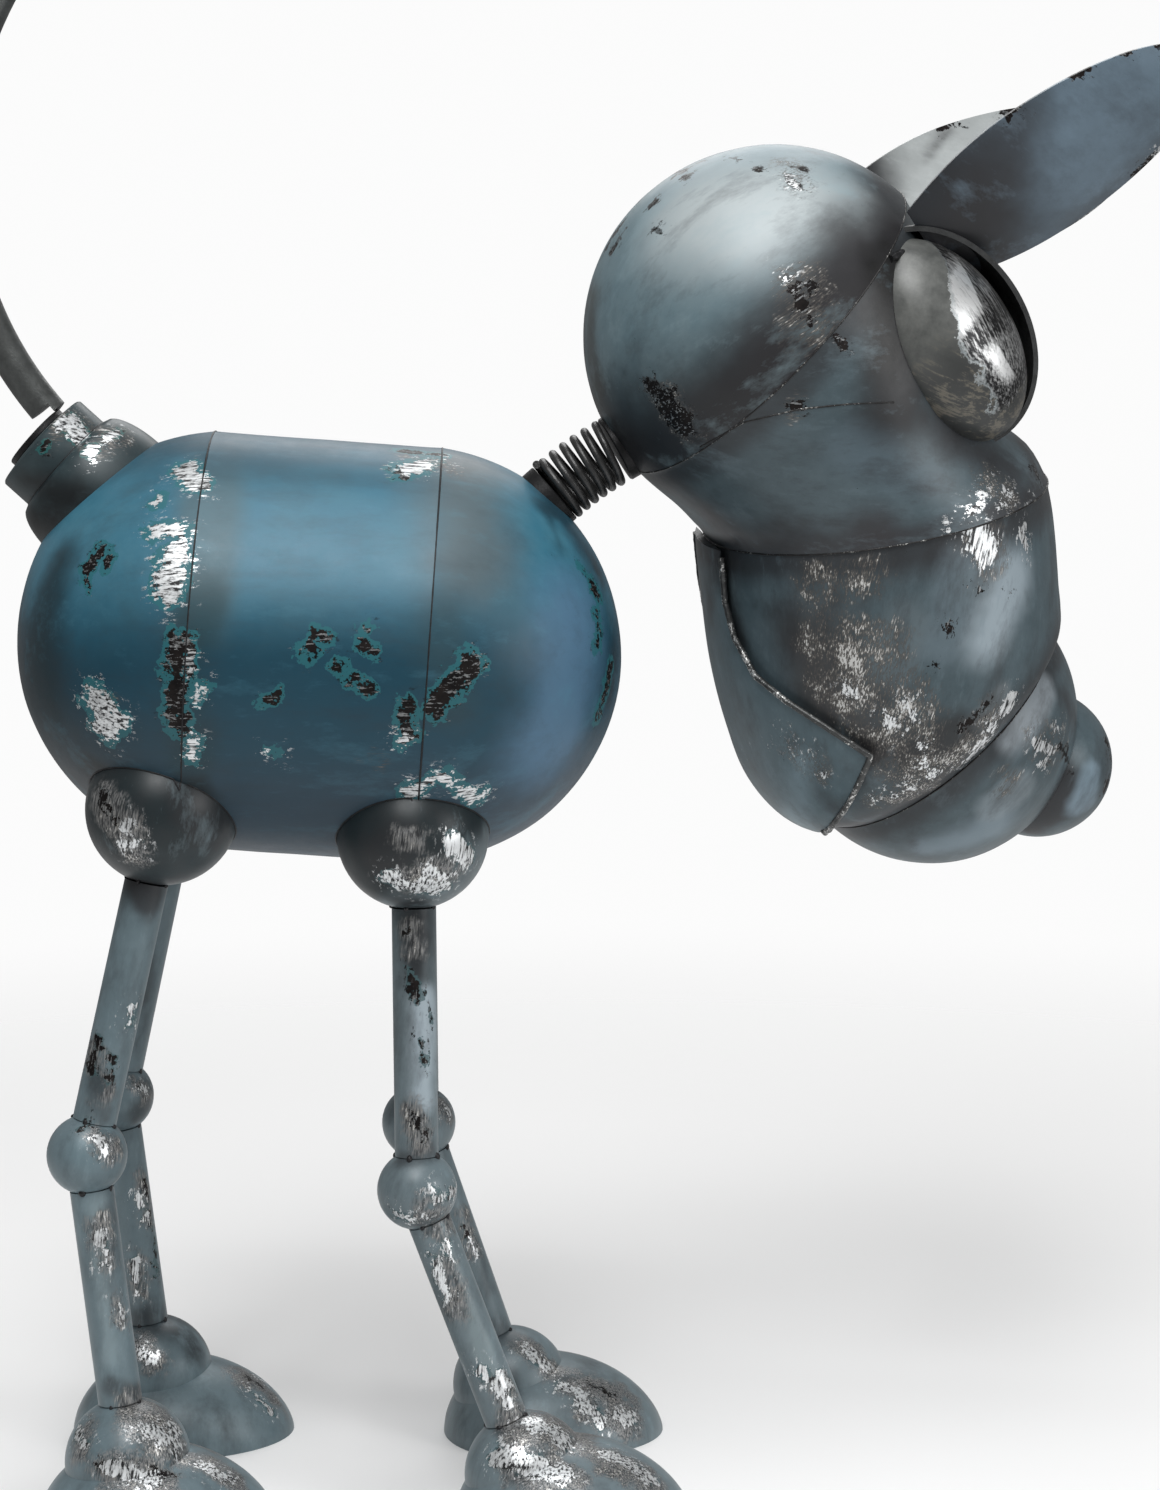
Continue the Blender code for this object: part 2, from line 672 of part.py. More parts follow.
def make_eye(side, word, head, skull_at, outlines):
    at = skull_at + on_skull(EYE_BEARING, EYE_HEIGHT, -EYE_SINK, side)
    rotation = eye_turn(side)
    radii = Vector((EYE_HALF_WIDTH, EYE_HALF_LENGTH, EYE_HALF_DEPTH))
    eye_mesh = ball_mesh("eye", radii, EYE_SIDES, EYE_RINGS)
    eye = piece("eye_" + word, eye_mesh, "eyes", head, at, rotation)
    cut(eye, *outlines)

    hood_at = at + in_plane(90.0 + EYE_SLANT) * HOOD_LIFT
    inside = radii + Vector((HOOD_CLEARANCE, HOOD_END_CLEARANCE, HOOD_CLEARANCE))
    outside = inside + Vector((HOOD_WALL,) * 3)
    hood_mesh = ball_mesh("eyelid", outside, EYE_SIDES, EYE_RINGS)
    hood = piece("eyelid_" + word, hood_mesh, "head", head, hood_at, rotation)
    hollow_mesh = ball_mesh("hood_hollow", inside, EYE_SIDES, EYE_RINGS)
    hollow = cutter("hood_hollow_" + word, hollow_mesh, head, hood_at, rotation)
    reach = 2 * EYE_HALF_LENGTH
    rims = sorted((side * HOOD_RIM_SIDE, side * (HOOD_RIM_SIDE + reach)))
    rim_mesh = slab_mesh("hood_rim", (-reach, rims[0], -reach), (reach, rims[1], reach))
    rim_cut = cutter("hood_rim_" + word, rim_mesh, head, Vector((at.x, 0, at.z)))
    grown_eye = ball_mesh("eye_outline", radii + Vector((GAP,) * 3), EYE_SIDES, EYE_RINGS)
    eye_outline = cutter("eye_outline_" + word, grown_eye, head, at, rotation)
    cut(hood, hollow, rim_cut, eye_outline, *outlines)
    grown = outside + Vector((GAP,) * 3)
    grown_mesh = ball_mesh("hood_outline", grown, EYE_SIDES, EYE_RINGS)
    return cutter("hood_outline_" + word, grown_mesh, head, hood_at, rotation)


def make_ear(side, word, head, skull_at, outlines):
    """A petal: an open sheet, curved across, made thick by Solidify."""
    splay = math.radians(EAR_SPLAY)
    lean = math.radians(EAR_LEANS[word])
    rise = EAR_RISES[word]
    forward = in_plane(rise) * math.cos(splay) + Vector((0, side * math.sin(splay), 0))
    upright = in_plane(rise + 90.0)
    upward = upright * math.cos(lean) + Vector((0, side * math.sin(lean), 0))
    upward = (upward - forward * upward.dot(forward)).normalized()
    facing = forward.cross(upward) * -side
    at = skull_at + on_skull(*EAR_PLACES[word], side)
    bm = bmesh.new()
    rows = []
    for i in range(EAR_ROWS + 1):
        share = 1 - (1 - i / EAR_ROWS) ** EAR_CROWDING
        if share < EAR_WIDEST:
            narrow = ((EAR_WIDEST - share) / EAR_WIDEST) ** 2
            half = EAR_HALF_WIDTH * (1 - (1 - EAR_ROOT_SHARE) * narrow)
        else:
            past = (share - EAR_WIDEST) / (1 - EAR_WIDEST)
            half = EAR_HALF_WIDTH * math.sqrt(max(0.0, 1 - past**2))
        half = max(half, EAR_TIP_HALF_WIDTH)
        row = []
        for j in range(EAR_COLUMNS + 1):
            across = 2 * j / EAR_COLUMNS - 1
            bow = EAR_CUP * (1 - across**2) * half / EAR_HALF_WIDTH
            along = (EAR_LENGTH + EAR_ROOT) * share - EAR_ROOT
            spot = forward * along + upward * (half * across) + facing * bow
            row.append(bm.verts.new(spot))
        rows.append(row)
    for lower, higher in zip(rows, rows[1:]):
        for j in range(EAR_COLUMNS):
            bm.faces.new((lower[j], lower[j + 1], higher[j + 1], higher[j]))
    bmesh.ops.recalc_face_normals(bm, faces=bm.faces)
    mesh = bpy.data.meshes.new("ear_" + word)
    bm.to_mesh(mesh)
    bm.free()
    ear = piece("ear_" + word, mesh, "ears", head, at)
    solid = ear.modifiers.new("Sheet", "SOLIDIFY")
    solid.thickness = EAR_WALL
    solid.offset = 0.0
    solid.use_even_offset = False
    cut(ear, *outlines)


def paw_mesh(name, grow):
    """Half an egg: blunt at the heel, longer and lower towards the toe, flat below."""
    bm = bmesh.new()
    bmesh.ops.create_uvsphere(bm, u_segments=PAW_SIDES, v_segments=PAW_RINGS, radius=1.0)
    below = [vert for vert in bm.verts if vert.co.z < -WELD_DISTANCE]
    bmesh.ops.delete(bm, geom=below, context="VERTS")
    rim = [edge for edge in bm.edges if edge.is_boundary]
    bmesh.ops.contextual_create(bm, geom=rim)
    for vert in bm.verts:
        ahead = max(0.0, vert.co.x)
        length = (PAW_TOE if vert.co.x > 0 else PAW_HEEL) + grow
        slope = 1.0 + (PAW_TOE_SLOPE - 1.0) * ahead
        vert.co.x *= length
        vert.co.y *= PAW_HALF_WIDTH + grow
        vert.co.z = max(vert.co.z, 0.0) ** slope * (PAW_HEIGHT + grow)
    return closed_mesh(name, bm)


def make_tube(name, start, end, parent, ends):
    """A straight tube between two ball middles, trimmed to the balls."""
    run = end - start
    bm = bmesh.new()
    bmesh.ops.create_cone(
        bm, cap_ends=True, segments=TUBE_SIDES,
        radius1=TUBE_RADIUS, radius2=TUBE_RADIUS, depth=run.length,
    )
    rotation = run.to_track_quat("Z", "Y").to_matrix()
    middle = (start + end) / 2
    cut(piece(name, closed_mesh(name, bm), "legs", parent, middle, rotation), *ends)


def hip_place(end, side):
    """Middle of a hip, from the body's seam and the barrel's underside."""
    if end == "front":
        along, sink = BARREL_LENGTH / 2 - FRONT_HIP_BACK, FRONT_HIP_SINK
    else:
        along, sink = -BARREL_LENGTH / 2 - REAR_HIP_BACK, REAR_HIP_SINK
    drop = math.sqrt(BARREL_RADIUS**2 - HIP_SIDE**2) - sink
    place_in_body = in_plane(-BODY_PITCH) * along - in_plane(90.0 - BODY_PITCH) * drop
    return Vector((0, side * HIP_SIDE, BODY_HEIGHT)) + place_in_body


def make_leg(end, word, side, root, body_outline):
    tag = end + "_" + word
    hip = hip_place(end, side)
    knee, ankle, paw = [Vector((hip.x + x, side * y, z)) for x, y, z in LEGS[tag]]

    def ball(name, radius, at):
        solid = piece(name, ball_mesh(name, (radius,) * 3), "legs", root, at)
        grown = ball_mesh(name + "_outline", (radius + GAP,) * 3)
        return solid, cutter(name + "_outline", grown, root, at)

    hip_ball, hip_outline = ball("hip_" + tag, HIP_RADIUS, hip)
    cut(hip_ball, body_outline)
    knee_outline = ball("knee_" + tag, KNEE_RADIUS, knee)[1]
    ankle_ball, ankle_outline = ball("ankle_" + tag, ANKLE_RADIUS, ankle)
    paw_outline = cutter("paw_outline_" + tag, paw_mesh("paw_outline", GAP), root, paw)
    reach = 2 * PAW_HALF_WIDTH
    ground = slab_mesh("ground", (-reach, -reach, -reach), (reach, reach, GAP))
    ground_cut = cutter("ground_" + tag, ground, root, paw)
    cut(ankle_ball, paw_outline, ground_cut)
    make_tube("upper_leg_" + tag, hip, knee, root, (hip_outline, knee_outline))
    make_tube("lower_leg_" + tag, knee, ankle, root, (knee_outline, ankle_outline))
    piece("paw_" + tag, paw_mesh("paw", 0.0), "legs", root, paw)


def centre_on_origin(root):
    """Moves the dog so that the middle of its box is over the origin."""
    bpy.context.view_layer.update()
    graph = bpy.context.evaluated_depsgraph_get()
    spots = []
    for obj in DOG.objects:
        if obj.type == "EMPTY":
            continue
        solid = obj.evaluated_get(graph)
        mesh = solid.to_mesh()
        spots.extend(solid.matrix_world @ vert.co for vert in mesh.vertices)
        solid.to_mesh_clear()
    for axis in (0, 1):
        low = min(spot[axis] for spot in spots)
        high = max(spot[axis] for spot in spots)
        root.location[axis] -= (low + high) / 2
    bpy.context.view_layer.update()


for old in list(bpy.data.objects):
    bpy.data.objects.remove(old)
DOG = new_collection("robot_dog")
CUTTERS = new_collection("cutters")

dog_root = empty("dog")
outline, front_ball, rear_ball = make_body(dog_root)
make_tail(dog_root, outline, rear_ball)

neck_foot, spring_path = neck_path(front_ball)
neck_pivot = spring_path[len(spring_path) // 2]
skull_middle = neck_top(spring_path) + in_plane(SKULL_AIM) * (SKULL_RADIUS + SKULL_STAND)
skull_place = skull_middle - neck_pivot
neck_joint = empty("neck_joint", dog_root, neck_pivot)
neck_joint.rotation_mode = "QUATERNION"
neck_turn = Matrix.Rotation(math.radians(HEAD_TURN), 3, skull_place.normalized())
neck_joint.rotation_quaternion = neck_turn.to_quaternion()
head_outlines = make_head(neck_joint, skull_place)
make_neck(dog_root, neck_joint, outline, head_outlines, neck_foot, spring_path, neck_pivot)
for side_sign, side_name in ((-1, "right"), (1, "left")):
    hood_outline = make_eye(side_sign, side_name, neck_joint, skull_place, head_outlines)
    make_ear(side_sign, side_name, neck_joint, skull_place, (*head_outlines, hood_outline))
    make_leg("front", side_name, side_sign, dog_root, outline)
    make_leg("rear", side_name, side_sign, dog_root, outline)
centre_on_origin(dog_root)
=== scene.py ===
"""Looks of the welded steel dog: its painted shells, weld beads, worn patches, floor and light."""
import math

import bmesh
import bpy
from mathutils import Matrix, Vector, noise
from mathutils.bvhtree import BVHTree


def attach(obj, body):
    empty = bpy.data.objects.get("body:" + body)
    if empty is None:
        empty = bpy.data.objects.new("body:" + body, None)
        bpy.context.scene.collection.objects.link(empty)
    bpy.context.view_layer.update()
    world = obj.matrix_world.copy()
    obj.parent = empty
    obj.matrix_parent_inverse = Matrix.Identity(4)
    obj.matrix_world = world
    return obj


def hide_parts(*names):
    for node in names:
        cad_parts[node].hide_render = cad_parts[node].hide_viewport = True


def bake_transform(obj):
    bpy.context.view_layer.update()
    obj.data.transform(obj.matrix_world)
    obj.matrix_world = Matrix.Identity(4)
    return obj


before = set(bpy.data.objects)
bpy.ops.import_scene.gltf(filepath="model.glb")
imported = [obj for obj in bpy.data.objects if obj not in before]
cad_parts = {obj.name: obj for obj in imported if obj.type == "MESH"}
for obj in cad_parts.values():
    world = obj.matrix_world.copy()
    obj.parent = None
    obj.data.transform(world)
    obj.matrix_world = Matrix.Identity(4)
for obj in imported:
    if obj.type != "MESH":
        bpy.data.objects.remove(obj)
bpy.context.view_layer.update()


# Camera: it stands off the dog's right side, a little above its back, and looks slightly down.
# Marks that were measured on the picture are found on the dog along the same lines of sight.

FOCAL_PIXELS = 2990.0
PICTURE = (1160, 1490)
EYE_POINT = Vector((-0.0742, -1.7876, 0.6358))
LOOK_DOWN = math.radians(6.01)
LOOK_RIGHT = math.radians(2.67)
DOG_DISTANCE = 1.75
PIXEL = 0.0006

look = Vector((
    math.sin(LOOK_RIGHT) * math.cos(LOOK_DOWN),
    math.cos(LOOK_RIGHT) * math.cos(LOOK_DOWN),
    -math.sin(LOOK_DOWN),
))
camera_data = bpy.data.cameras.new("camera")
camera_data.sensor_fit = "VERTICAL"
camera_data.sensor_height = 36.0
camera_data.sensor_width = 36.0
camera_data.lens = FOCAL_PIXELS / PICTURE[1] * camera_data.sensor_height
camera = bpy.data.objects.new("camera", camera_data)
camera.location = EYE_POINT
camera.rotation_euler = look.to_track_quat("-Z", "Y").to_euler()
bpy.context.scene.collection.objects.link(camera)
bpy.context.scene.camera = camera


def sight(x, y):
    """Direction from the camera to a place in the picture."""
    right = look.cross(Vector((0, 0, 1))).normalized()
    up = right.cross(look)
    across, above = x - PICTURE[0] / 2, PICTURE[1] / 2 - y
    return (look * FOCAL_PIXELS + right * across + up * above).normalized()


# Body: a drum of rolled sheet between two pressed domes, welded edge to edge and ground nearly
# flush. Teal-blue paint, darkened with an airbrush at the seams, and rubbed through to bright steel
# or to dark scale, with a teal undercoat round the larger chips. Underneath it is darker, partly
# from the airbrush and partly painted shade, with painted light from the floor along the bottom.
# Painted shade tones the top down against the lamps' highlight and darkens the rear end's far side,
# the front end's edge, the front dome round the neck and the rear dome over the rear hip; a painted
# highlight lights the front dome.

ROOT = Vector((-0.14856, -0.00516, 0.0))
BODY_MIDDLE = ROOT + Vector((0, 0, 0.507))
BODY_PITCH = 4.2
DRUM_RADIUS = 0.124
DRUM_LENGTH = 0.134
REAR_DEPTH = 0.109
FRONT_DEPTH = 0.1156
SEAM_GAP = 0.0003
DENTS_PER_METRE = 17.0
RIPPLES_PER_METRE = 47.0
SHARP_EDGE = math.radians(38)


def in_plane(angle):
    """The direction in the upright lengthwise plane that makes this angle with +X."""
    return Vector((math.cos(math.radians(angle)), 0.0, math.sin(math.radians(angle))))


def stand(place, angle):
    """Puts a piece's own z along in_plane(angle) and its origin at a place."""
    return Matrix.Translation(place) @ Matrix.Rotation(math.radians(90.0 - angle), 4, "Y")


def finish_mesh(name, bm, material):
    """A finished piece: faces out, smooth, with its place in its mesh."""
    bmesh.ops.remove_doubles(bm, verts=bm.verts, dist=0.000005)
    bmesh.ops.recalc_face_normals(bm, faces=bm.faces)
    mesh = bpy.data.meshes.new(name)
    bm.to_mesh(mesh)
    bm.free()
    mesh.shade_smooth()
    mesh.set_sharp_from_angle(angle=SHARP_EDGE)
    mesh.materials.append(material)
    obj = bpy.data.objects.new(name, mesh)
    bpy.context.scene.collection.objects.link(obj)
    return obj


def ringed(name, rings, material, hammer=0.0):
    """A closed form through rings of points, from one end to the other; a ring of one is a pole.

    hammer is how far the sheet strays in and out, as hand-planished steel does.
    """
    bm = bmesh.new()
    rows = [[bm.verts.new(point) for point in ring] for ring in rings]
    for lower, upper in zip(rows, rows[1:]):
        count = max(len(lower), len(upper))
        for i in range(count):
            j = (i + 1) % count
            corners = []
            for row, k in ((lower, i), (lower, j), (upper, j), (upper, i)):
                vert = row[k % len(row)]
                if vert not in corners:
                    corners.append(vert)
            bm.faces.new(corners)
    for row in (rows[0], rows[-1]):
        if len(row) > 2:
            bm.faces.new(row)
    if hammer:
        bmesh.ops.recalc_face_normals(bm, faces=bm.faces)
        bm.normal_update()
        moves = []
        for vert in bm.verts:
            broad = noise.noise(vert.co * DENTS_PER_METRE)
            fine = noise.noise(vert.co * RIPPLES_PER_METRE + Vector((3, 5, 7)))
            moves.append(vert.normal * (hammer * (0.75 * broad + 0.25 * fine - 0.85)))
        for vert, move in zip(bm.verts, moves):
            vert.co += move
    return finish_mesh(name, bm, material)


def lathe_rings(profile, matrix, sides):
    """Rings of a profile of (radius, height) points turned about its z and put in place."""
    rings = []
    for radius, height in profile:
        count = sides if radius > 1e-6 else 1
        ring = []
        for i in range(count):
            angle = math.tau * i / count
            ring.append(matrix @ Vector((radius * math.cos(angle), radius * math.sin(angle), height)))
        rings.append(ring)
    return rings


def dome_profile(base, depth, rows):
    """A dome's profile from its rim, at height 0, to its pole."""
    radius = (base**2 + depth**2) / (2 * depth)
    middle = depth - radius
    last = math.acos(-middle / radius)
    points = []
    for i in range(rows + 1):
        angle = last * (1 - i / rows)
        points.append((radius * math.sin(angle), middle + radius * math.cos(angle)))
    return points


class Amount:
    """A value that varies from place to place: a socket whose arithmetic adds Math nodes."""

    def __init__(self, nodes, socket):
        self.nodes = nodes
        self.socket = socket

    def math(self, operation, *others, clamp=False):
        settings = {"operation": operation, "use_clamp": clamp}
        return self.nodes.add("ShaderNodeMath", settings, {0: self, **dict(enumerate(others, 1))})

    def __add__(self, other):
        return self.math("ADD", other)

    def __radd__(self, other):
        return self.math("ADD", other)

    def __sub__(self, other):
        return self.math("SUBTRACT", other)

    def __rsub__(self, other):
        return (self * -1.0).math("ADD", other)

    def __mul__(self, other):
        return self.math("MULTIPLY", other)

    def clamped(self):
        return self.math("ADD", 0.0, clamp=True)

    def size(self):
        return self.math("ABSOLUTE")

    def most(self, other):
        return self.math("MAXIMUM", other)

    def rise(self, low, high):
        """0 below low and 1 above high, with a soft step between; low may be the larger."""
        values = {"Value": self, "From Min": low, "From Max": high}
        if low > high:
            values = {"Value": self, "From Min": high, "From Max": low, "To Min": 1.0, "To Max": 0.0}
        return self.nodes.add("ShaderNodeMapRange", {"interpolation_type": "SMOOTHSTEP"}, values)


class Nodes:
    """A node tree, built up node by node."""

    def __init__(self, tree):
        self.tree = tree

    def add(self, kind, settings=None, inputs=None, output=0):
        """Adds a node: its settings first, then the values or links of its sockets."""
        node = self.tree.nodes.new(kind)
        for key, value in (settings or {}).items():
            setattr(node, key, value)
        for key, value in (inputs or {}).items():
            self.feed(node.inputs[key], value)
        return Amount(self, node.outputs[output])

    def feed(self, socket, value):
        if isinstance(value, Amount):
            self.tree.links.new(value.socket, socket)
        elif socket.type == "RGBA":
            socket.default_value = (*value, 1.0)
        else:
            socket.default_value = value


class Recipe(Nodes):
    """The nodes of one material."""

    def __init__(self, name):
        self.material = bpy.data.materials.new(name)
        self.material.use_nodes = True
        super().__init__(self.material.node_tree)
        self.shader = self.tree.nodes["Principled BSDF"]
        self.place = self.add("ShaderNodeTexCoord", output="Object")

    def vector(self, operation, first, second=None, output=0):
        inputs = {0: first}
        if second is not None:
            inputs["Scale" if operation == "SCALE" else 1] = second
        return self.add("ShaderNodeVectorMath", {"operation": operation}, inputs, output)

    def length(self, vector):
        return self.vector("LENGTH", vector, output="Value")

    def dot(self, first, second):
        return self.vector("DOT_PRODUCT", first, tuple(second), "Value")

    def mix(self, amount, first, second):
        """Two colours mixed: amount 0 is the first."""
        return self.add("ShaderNodeMix", {"data_type": "RGBA"}, {"Factor": amount, 6: first, 7: second}, 2)

    def cloud(self, size, detail=3.0, roughness=0.55, at=None):
        """Fractal noise, 0 to 1 with its middle at 0.5, whose main lumps are this many metres."""
        sockets = {"Vector": at or self.place, "Scale": 1.0 / size, "Detail": detail, "Roughness": roughness}
        return self.add("ShaderNodeTexNoise", {"noise_dimensions": "3D"}, sockets)

    def stretched(self, turn, stretch, shift=(0, 0, 0)):
        """The place on the piece, turned (radians) and then scaled along its own axes."""
        turned = self.add("ShaderNodeMapping", inputs={"Vector": self.place, "Rotation": turn})
        return self.add("ShaderNodeMapping", inputs={"Vector": turned, "Scale": stretch, "Location": shift})

    def folded(self, point, normal):
        """The place mirrored to the near side of a plane, so that both sides carry like marks."""
        beyond = self.from_plane(point, normal).most(0.0)
        shift = self.vector("SCALE", tuple(Vector(normal).normalized()), beyond * 2.0)
        return self.vector("SUBTRACT", self.place, shift)

    def from_line(self, at, start, end):
        """Distance from the stroke between two points."""
        start, along = Vector(start), Vector(end) - Vector(start)
        offset = self.vector("SUBTRACT", at, tuple(start))
        if along.length < 1e-5:
            return self.length(offset)
        foot = self.vector("SCALE", tuple(along), self.dot(offset, along / along.length_squared).clamped())
        return self.length(self.vector("SUBTRACT", offset, foot))

    def from_plane(self, point, normal):
        """Signed distance in front of a plane."""
        return self.dot(self.vector("SUBTRACT", self.place, tuple(point)), Vector(normal).normalized())

    def finish(self, colour, metallic, roughness, height, depth):
        """Feeds the shader, with height as fine relief of this depth in metres; gives the material."""
        relief = self.add("ShaderNodeBump", inputs={"Strength": 0.5, "Distance": depth, "Height": height})
        self.feed(self.shader.inputs["Base Color"], colour)
        self.feed(self.shader.inputs["Metallic"], metallic)
        self.feed(self.shader.inputs["Roughness"], roughness)
        self.feed(self.shader.inputs["Normal"], relief)
        return self.material


STEEL_BRIGHT = (0.74, 0.76, 0.77)
STEEL_GREY = (0.30, 0.31, 0.315)
SCALE_DARK = (0.010, 0.010, 0.011)
SCALE_BROWN = (0.042, 0.034, 0.031)
UNDERCOAT = (0.016, 0.115, 0.135)
WANDER = 0.008


def reaching(piece, marks, reach_at):
    """The marks that come within reach of a piece's box."""
    spots = [vert.co for vert in piece.data.vertices]
    low = Vector(min(spot[k] for spot in spots) for k in range(3))
    high = Vector(max(spot[k] for spot in spots) for k in range(3))
    kept = []
    for mark in marks:
        margin = mark[reach_at] + WANDER
        start, end = Vector(mark[0]), Vector(mark[1])
        spans = ((min(start[k], end[k]) - margin, max(start[k], end[k]) + margin) for k in range(3))
        if all(a < high[k] and b > low[k] for k, (a, b) in enumerate(spans)):
            kept.append(mark)
    return kept


def surface_of(*objects):
    """Something to look up places on, made of finished pieces."""
    points, faces = [], []
    for obj in objects:
        first = len(points)
        points.extend(obj.matrix_world @ vert.co for vert in obj.data.vertices)
        faces.extend([first + k for k in face.vertices] for face in obj.data.polygons)
    return BVHTree.FromPolygons(points, faces)


def seen(surface, x, y):
    """The place on a surface that shows at this place in the picture."""
    hit = surface.ray_cast(EYE_POINT, sight(x, y))[0]
    if hit is None:
        hit = surface.find_nearest(EYE_POINT + sight(x, y) * DOG_DISTANCE)[0]
    return tuple(round(value, 4) for value in hit)


def worn(surface, marks):
    """Worn patches from marks in the picture, (x, y, x, y, radius), all in its pixels."""
    patches = []
    for x, y, far_x, far_y, radius in marks:
        patches.append((seen(surface, x, y), seen(surface, far_x, far_y), radius * PIXEL))
    return patches


def placed_paint_and_light(surface, marks):
    """Airbrushing, painted shade and highlights from picture marks, (x, y, x, y, reach, colour, strength)."""
    strokes = []
    for x, y, far_x, far_y, reach, tint, strength in marks:
        strokes.append((seen(surface, x, y), seen(surface, far_x, far_y), reach * PIXEL, tint, strength))
    return strokes


def painted_steel(
    piece, name, blue, pale, fold, sprays_and_painted_light=(), bands=(), shades=(), bright=(), dark=(), rubbed=(),
    strokes=(0, 0, 0), stroke_thin=(70, 620, 620), undercoat=UNDERCOAT, halo=0.0035, specks=0.0,
    ragged=0.0055, satin=0.40, buffed=0.0, mottling=1.0, marks_on=None,
):
    """Airbrushed paint over steel, worn through in patches.

    blue and pale are the paint's main and lighter colours. sprays are soft strokes of colour,
    (start, end, reach, colour, strength): airbrushing, painted shade and painted highlights. bands
    are such strokes along a seam's plane, (point, normal, reach, colour, strength). shades darken
    or lighten one side of a plane, (point, normal, low, high, colour, strength); on the body and
    the legs they carry painted shade and painted light. bright, dark and rubbed are worn patches,
    (start, end, radius): bright ones show brushed steel, dark ones mill scale, and rubbed ones only
    thin strokes of steel, more of it the more they are buffed. strokes turns the brushing's
    direction, satin is the paint's roughness and mottling how unevenly it is clouded. With
    marks_on, sprays and worn patches are marks in the picture, (x, y, x, y, ...) in its pixels,
    that show on that surface.
    """
    if marks_on is not None:
        sprays_and_painted_light = placed_paint_and_light(marks_on, sprays_and_painted_light)
        bright, dark, rubbed = (worn(marks_on, patches) for patches in (bright, dark, rubbed))
    sprays_and_painted_light = reaching(piece, sprays_and_painted_light, 2)
    bright = reaching(piece, bright, 2)
    dark = reaching(piece, dark, 2)
    rubbed = reaching(piece, rubbed, 2)
    recipe = Recipe(name)
    at = recipe.folded(*fold)
    drift = recipe.cloud(0.090, 4.0, 0.6)
    mottle = recipe.cloud(0.012, 5.0, 0.68)
    grain = recipe.cloud(0.0016, 4.0, 0.7)
    brushed_at = recipe.stretched(strokes, stroke_thin)
    brushing = recipe.cloud(1.0, 4.0, 0.65, brushed_at)
    wander = (drift - 0.5) * 0.050

    # The paint, with its airbrushing and grime, and the painted shade and painted highlights
    # that the shades and sprays carry.
    colour = recipe.mix((drift - 0.5) * 1.6 + (mottle - 0.5) * 0.9 + 0.35, blue, pale)
    for point, normal, reach, tint, strength in bands:
        distance = recipe.from_plane(point, normal).size() + wander * 0.35
        colour = recipe.mix(distance.rise(reach, reach * 0.3) * strength, colour, tint)
    for point, normal, low, high, tint, strength in shades:
        distance = recipe.from_plane(point, normal) + wander * 0.8
        colour = recipe.mix(distance.rise(low, high) * strength, colour, tint)
    for start, end, reach, tint, strength in sprays_and_painted_light:
        distance = recipe.from_line(at, start, end) + wander
        colour = recipe.mix(distance.rise(reach, reach * 0.1) * strength, colour, tint)
    grime = recipe.cloud(0.030, 6.0, 0.72, recipe.stretched(strokes, (0.35, 1.0, 1.0), (0.3, 0.1, 0.2)))
    colour = recipe.mix((grime - 0.50) * (1.7 * mottling), colour, (0.020, 0.020, 0.022))
    colour = recipe.mix((0.46 - grime) * (1.7 * mottling), colour, tuple(1.5 * c for c in pale))

    torn = (recipe.cloud(0.011, 3.0, 0.6) - 0.5) * (ragged * 3.8)
    bitten = (recipe.cloud(0.0035, 4.0, 0.7) - 0.5) * (ragged * 2.2)
    streaked = (brushing - 0.5) * (ragged * 0.6)

    # Where it is worn: how deep inside a patch each place is, negative outside all of them.
    far_outside = drift * 0.0 - 0.05

    def inside(patches):
        """How deep inside the nearest patch a place is, in metres, with wandering edges."""
        depth = None
        for start, end, radius in patches:
            within = radius - recipe.from_line(at, start, end)
            depth = within if depth is None else depth.most(within)
        return far_outside if depth is None else depth + torn

    flecks = recipe.cloud(0.0030, 5.0, 0.75, recipe.stretched(strokes, (0.45, 1.0, 1.0), (0.7, 0.4, 0.1)))
    bright_depth = inside(bright)
    dark_depth = inside(dark)
    if halo:
        coat = (bright_depth.most(dark_depth) + bitten * 0.5).rise(-halo - 0.0004, -halo)
        colour = recipe.mix(coat * 0.8, colour, undercoat)
    if rubbed:
        fine_at = recipe.stretched(strokes, tuple(1.8 * share for share in stroke_thin), (0.4, 0.9, 0.2))
        fine_brushing = recipe.cloud(1.0, 3.0, 0.6, fine_at)
        scuff_depth = inside(rubbed) + bitten
        near = scuff_depth.rise(-0.006, 0.004)
        clumps = recipe.cloud(0.016, 4.0, 0.65)
        scuff = scuff_depth.rise(-0.004, 0.022) * 0.08 + fine_brushing + (clumps - 0.5) * 0.9
        colour = recipe.mix(near * scuff.rise(0.42, 0.60) * 0.75, colour, (0.058, 0.054, 0.050))
        if buffed:
            polish = recipe.mix(fine_brushing.rise(0.36, 0.66), (0.035, 0.036, 0.038), (0.300, 0.305, 0.305))
            colour = recipe.mix((near * buffed * (clumps + 0.35).rise(0.68, 0.80)), colour, polish)
        colour = recipe.mix(near * scuff.rise(0.58, 0.70) * 0.80, colour, (0.190, 0.180, 0.165))
        colour = recipe.mix(near * scuff.rise(0.70, 0.74) * 0.90, colour, (0.560, 0.560, 0.545))
    round_bright = bright_depth.rise(-0.011, -0.002) * (flecks - 0.585).rise(0.0, 0.012)
    round_dark = dark_depth.rise(-0.008, -0.002) * (flecks - 0.600).rise(0.0, 0.012)
    bright_depth = bright_depth + bitten * 1.2 + streaked
    dark_depth = dark_depth + bitten * 1.5
    bright_mask = bright_depth.rise(-0.0002, 0.0003).most(round_bright)
    dark_mask = dark_depth.rise(-0.0002, 0.0003).most(round_dark)
    if specks:
        dark_mask = dark_mask.most((flecks - (0.735 - specks)).rise(0.0, 0.012))

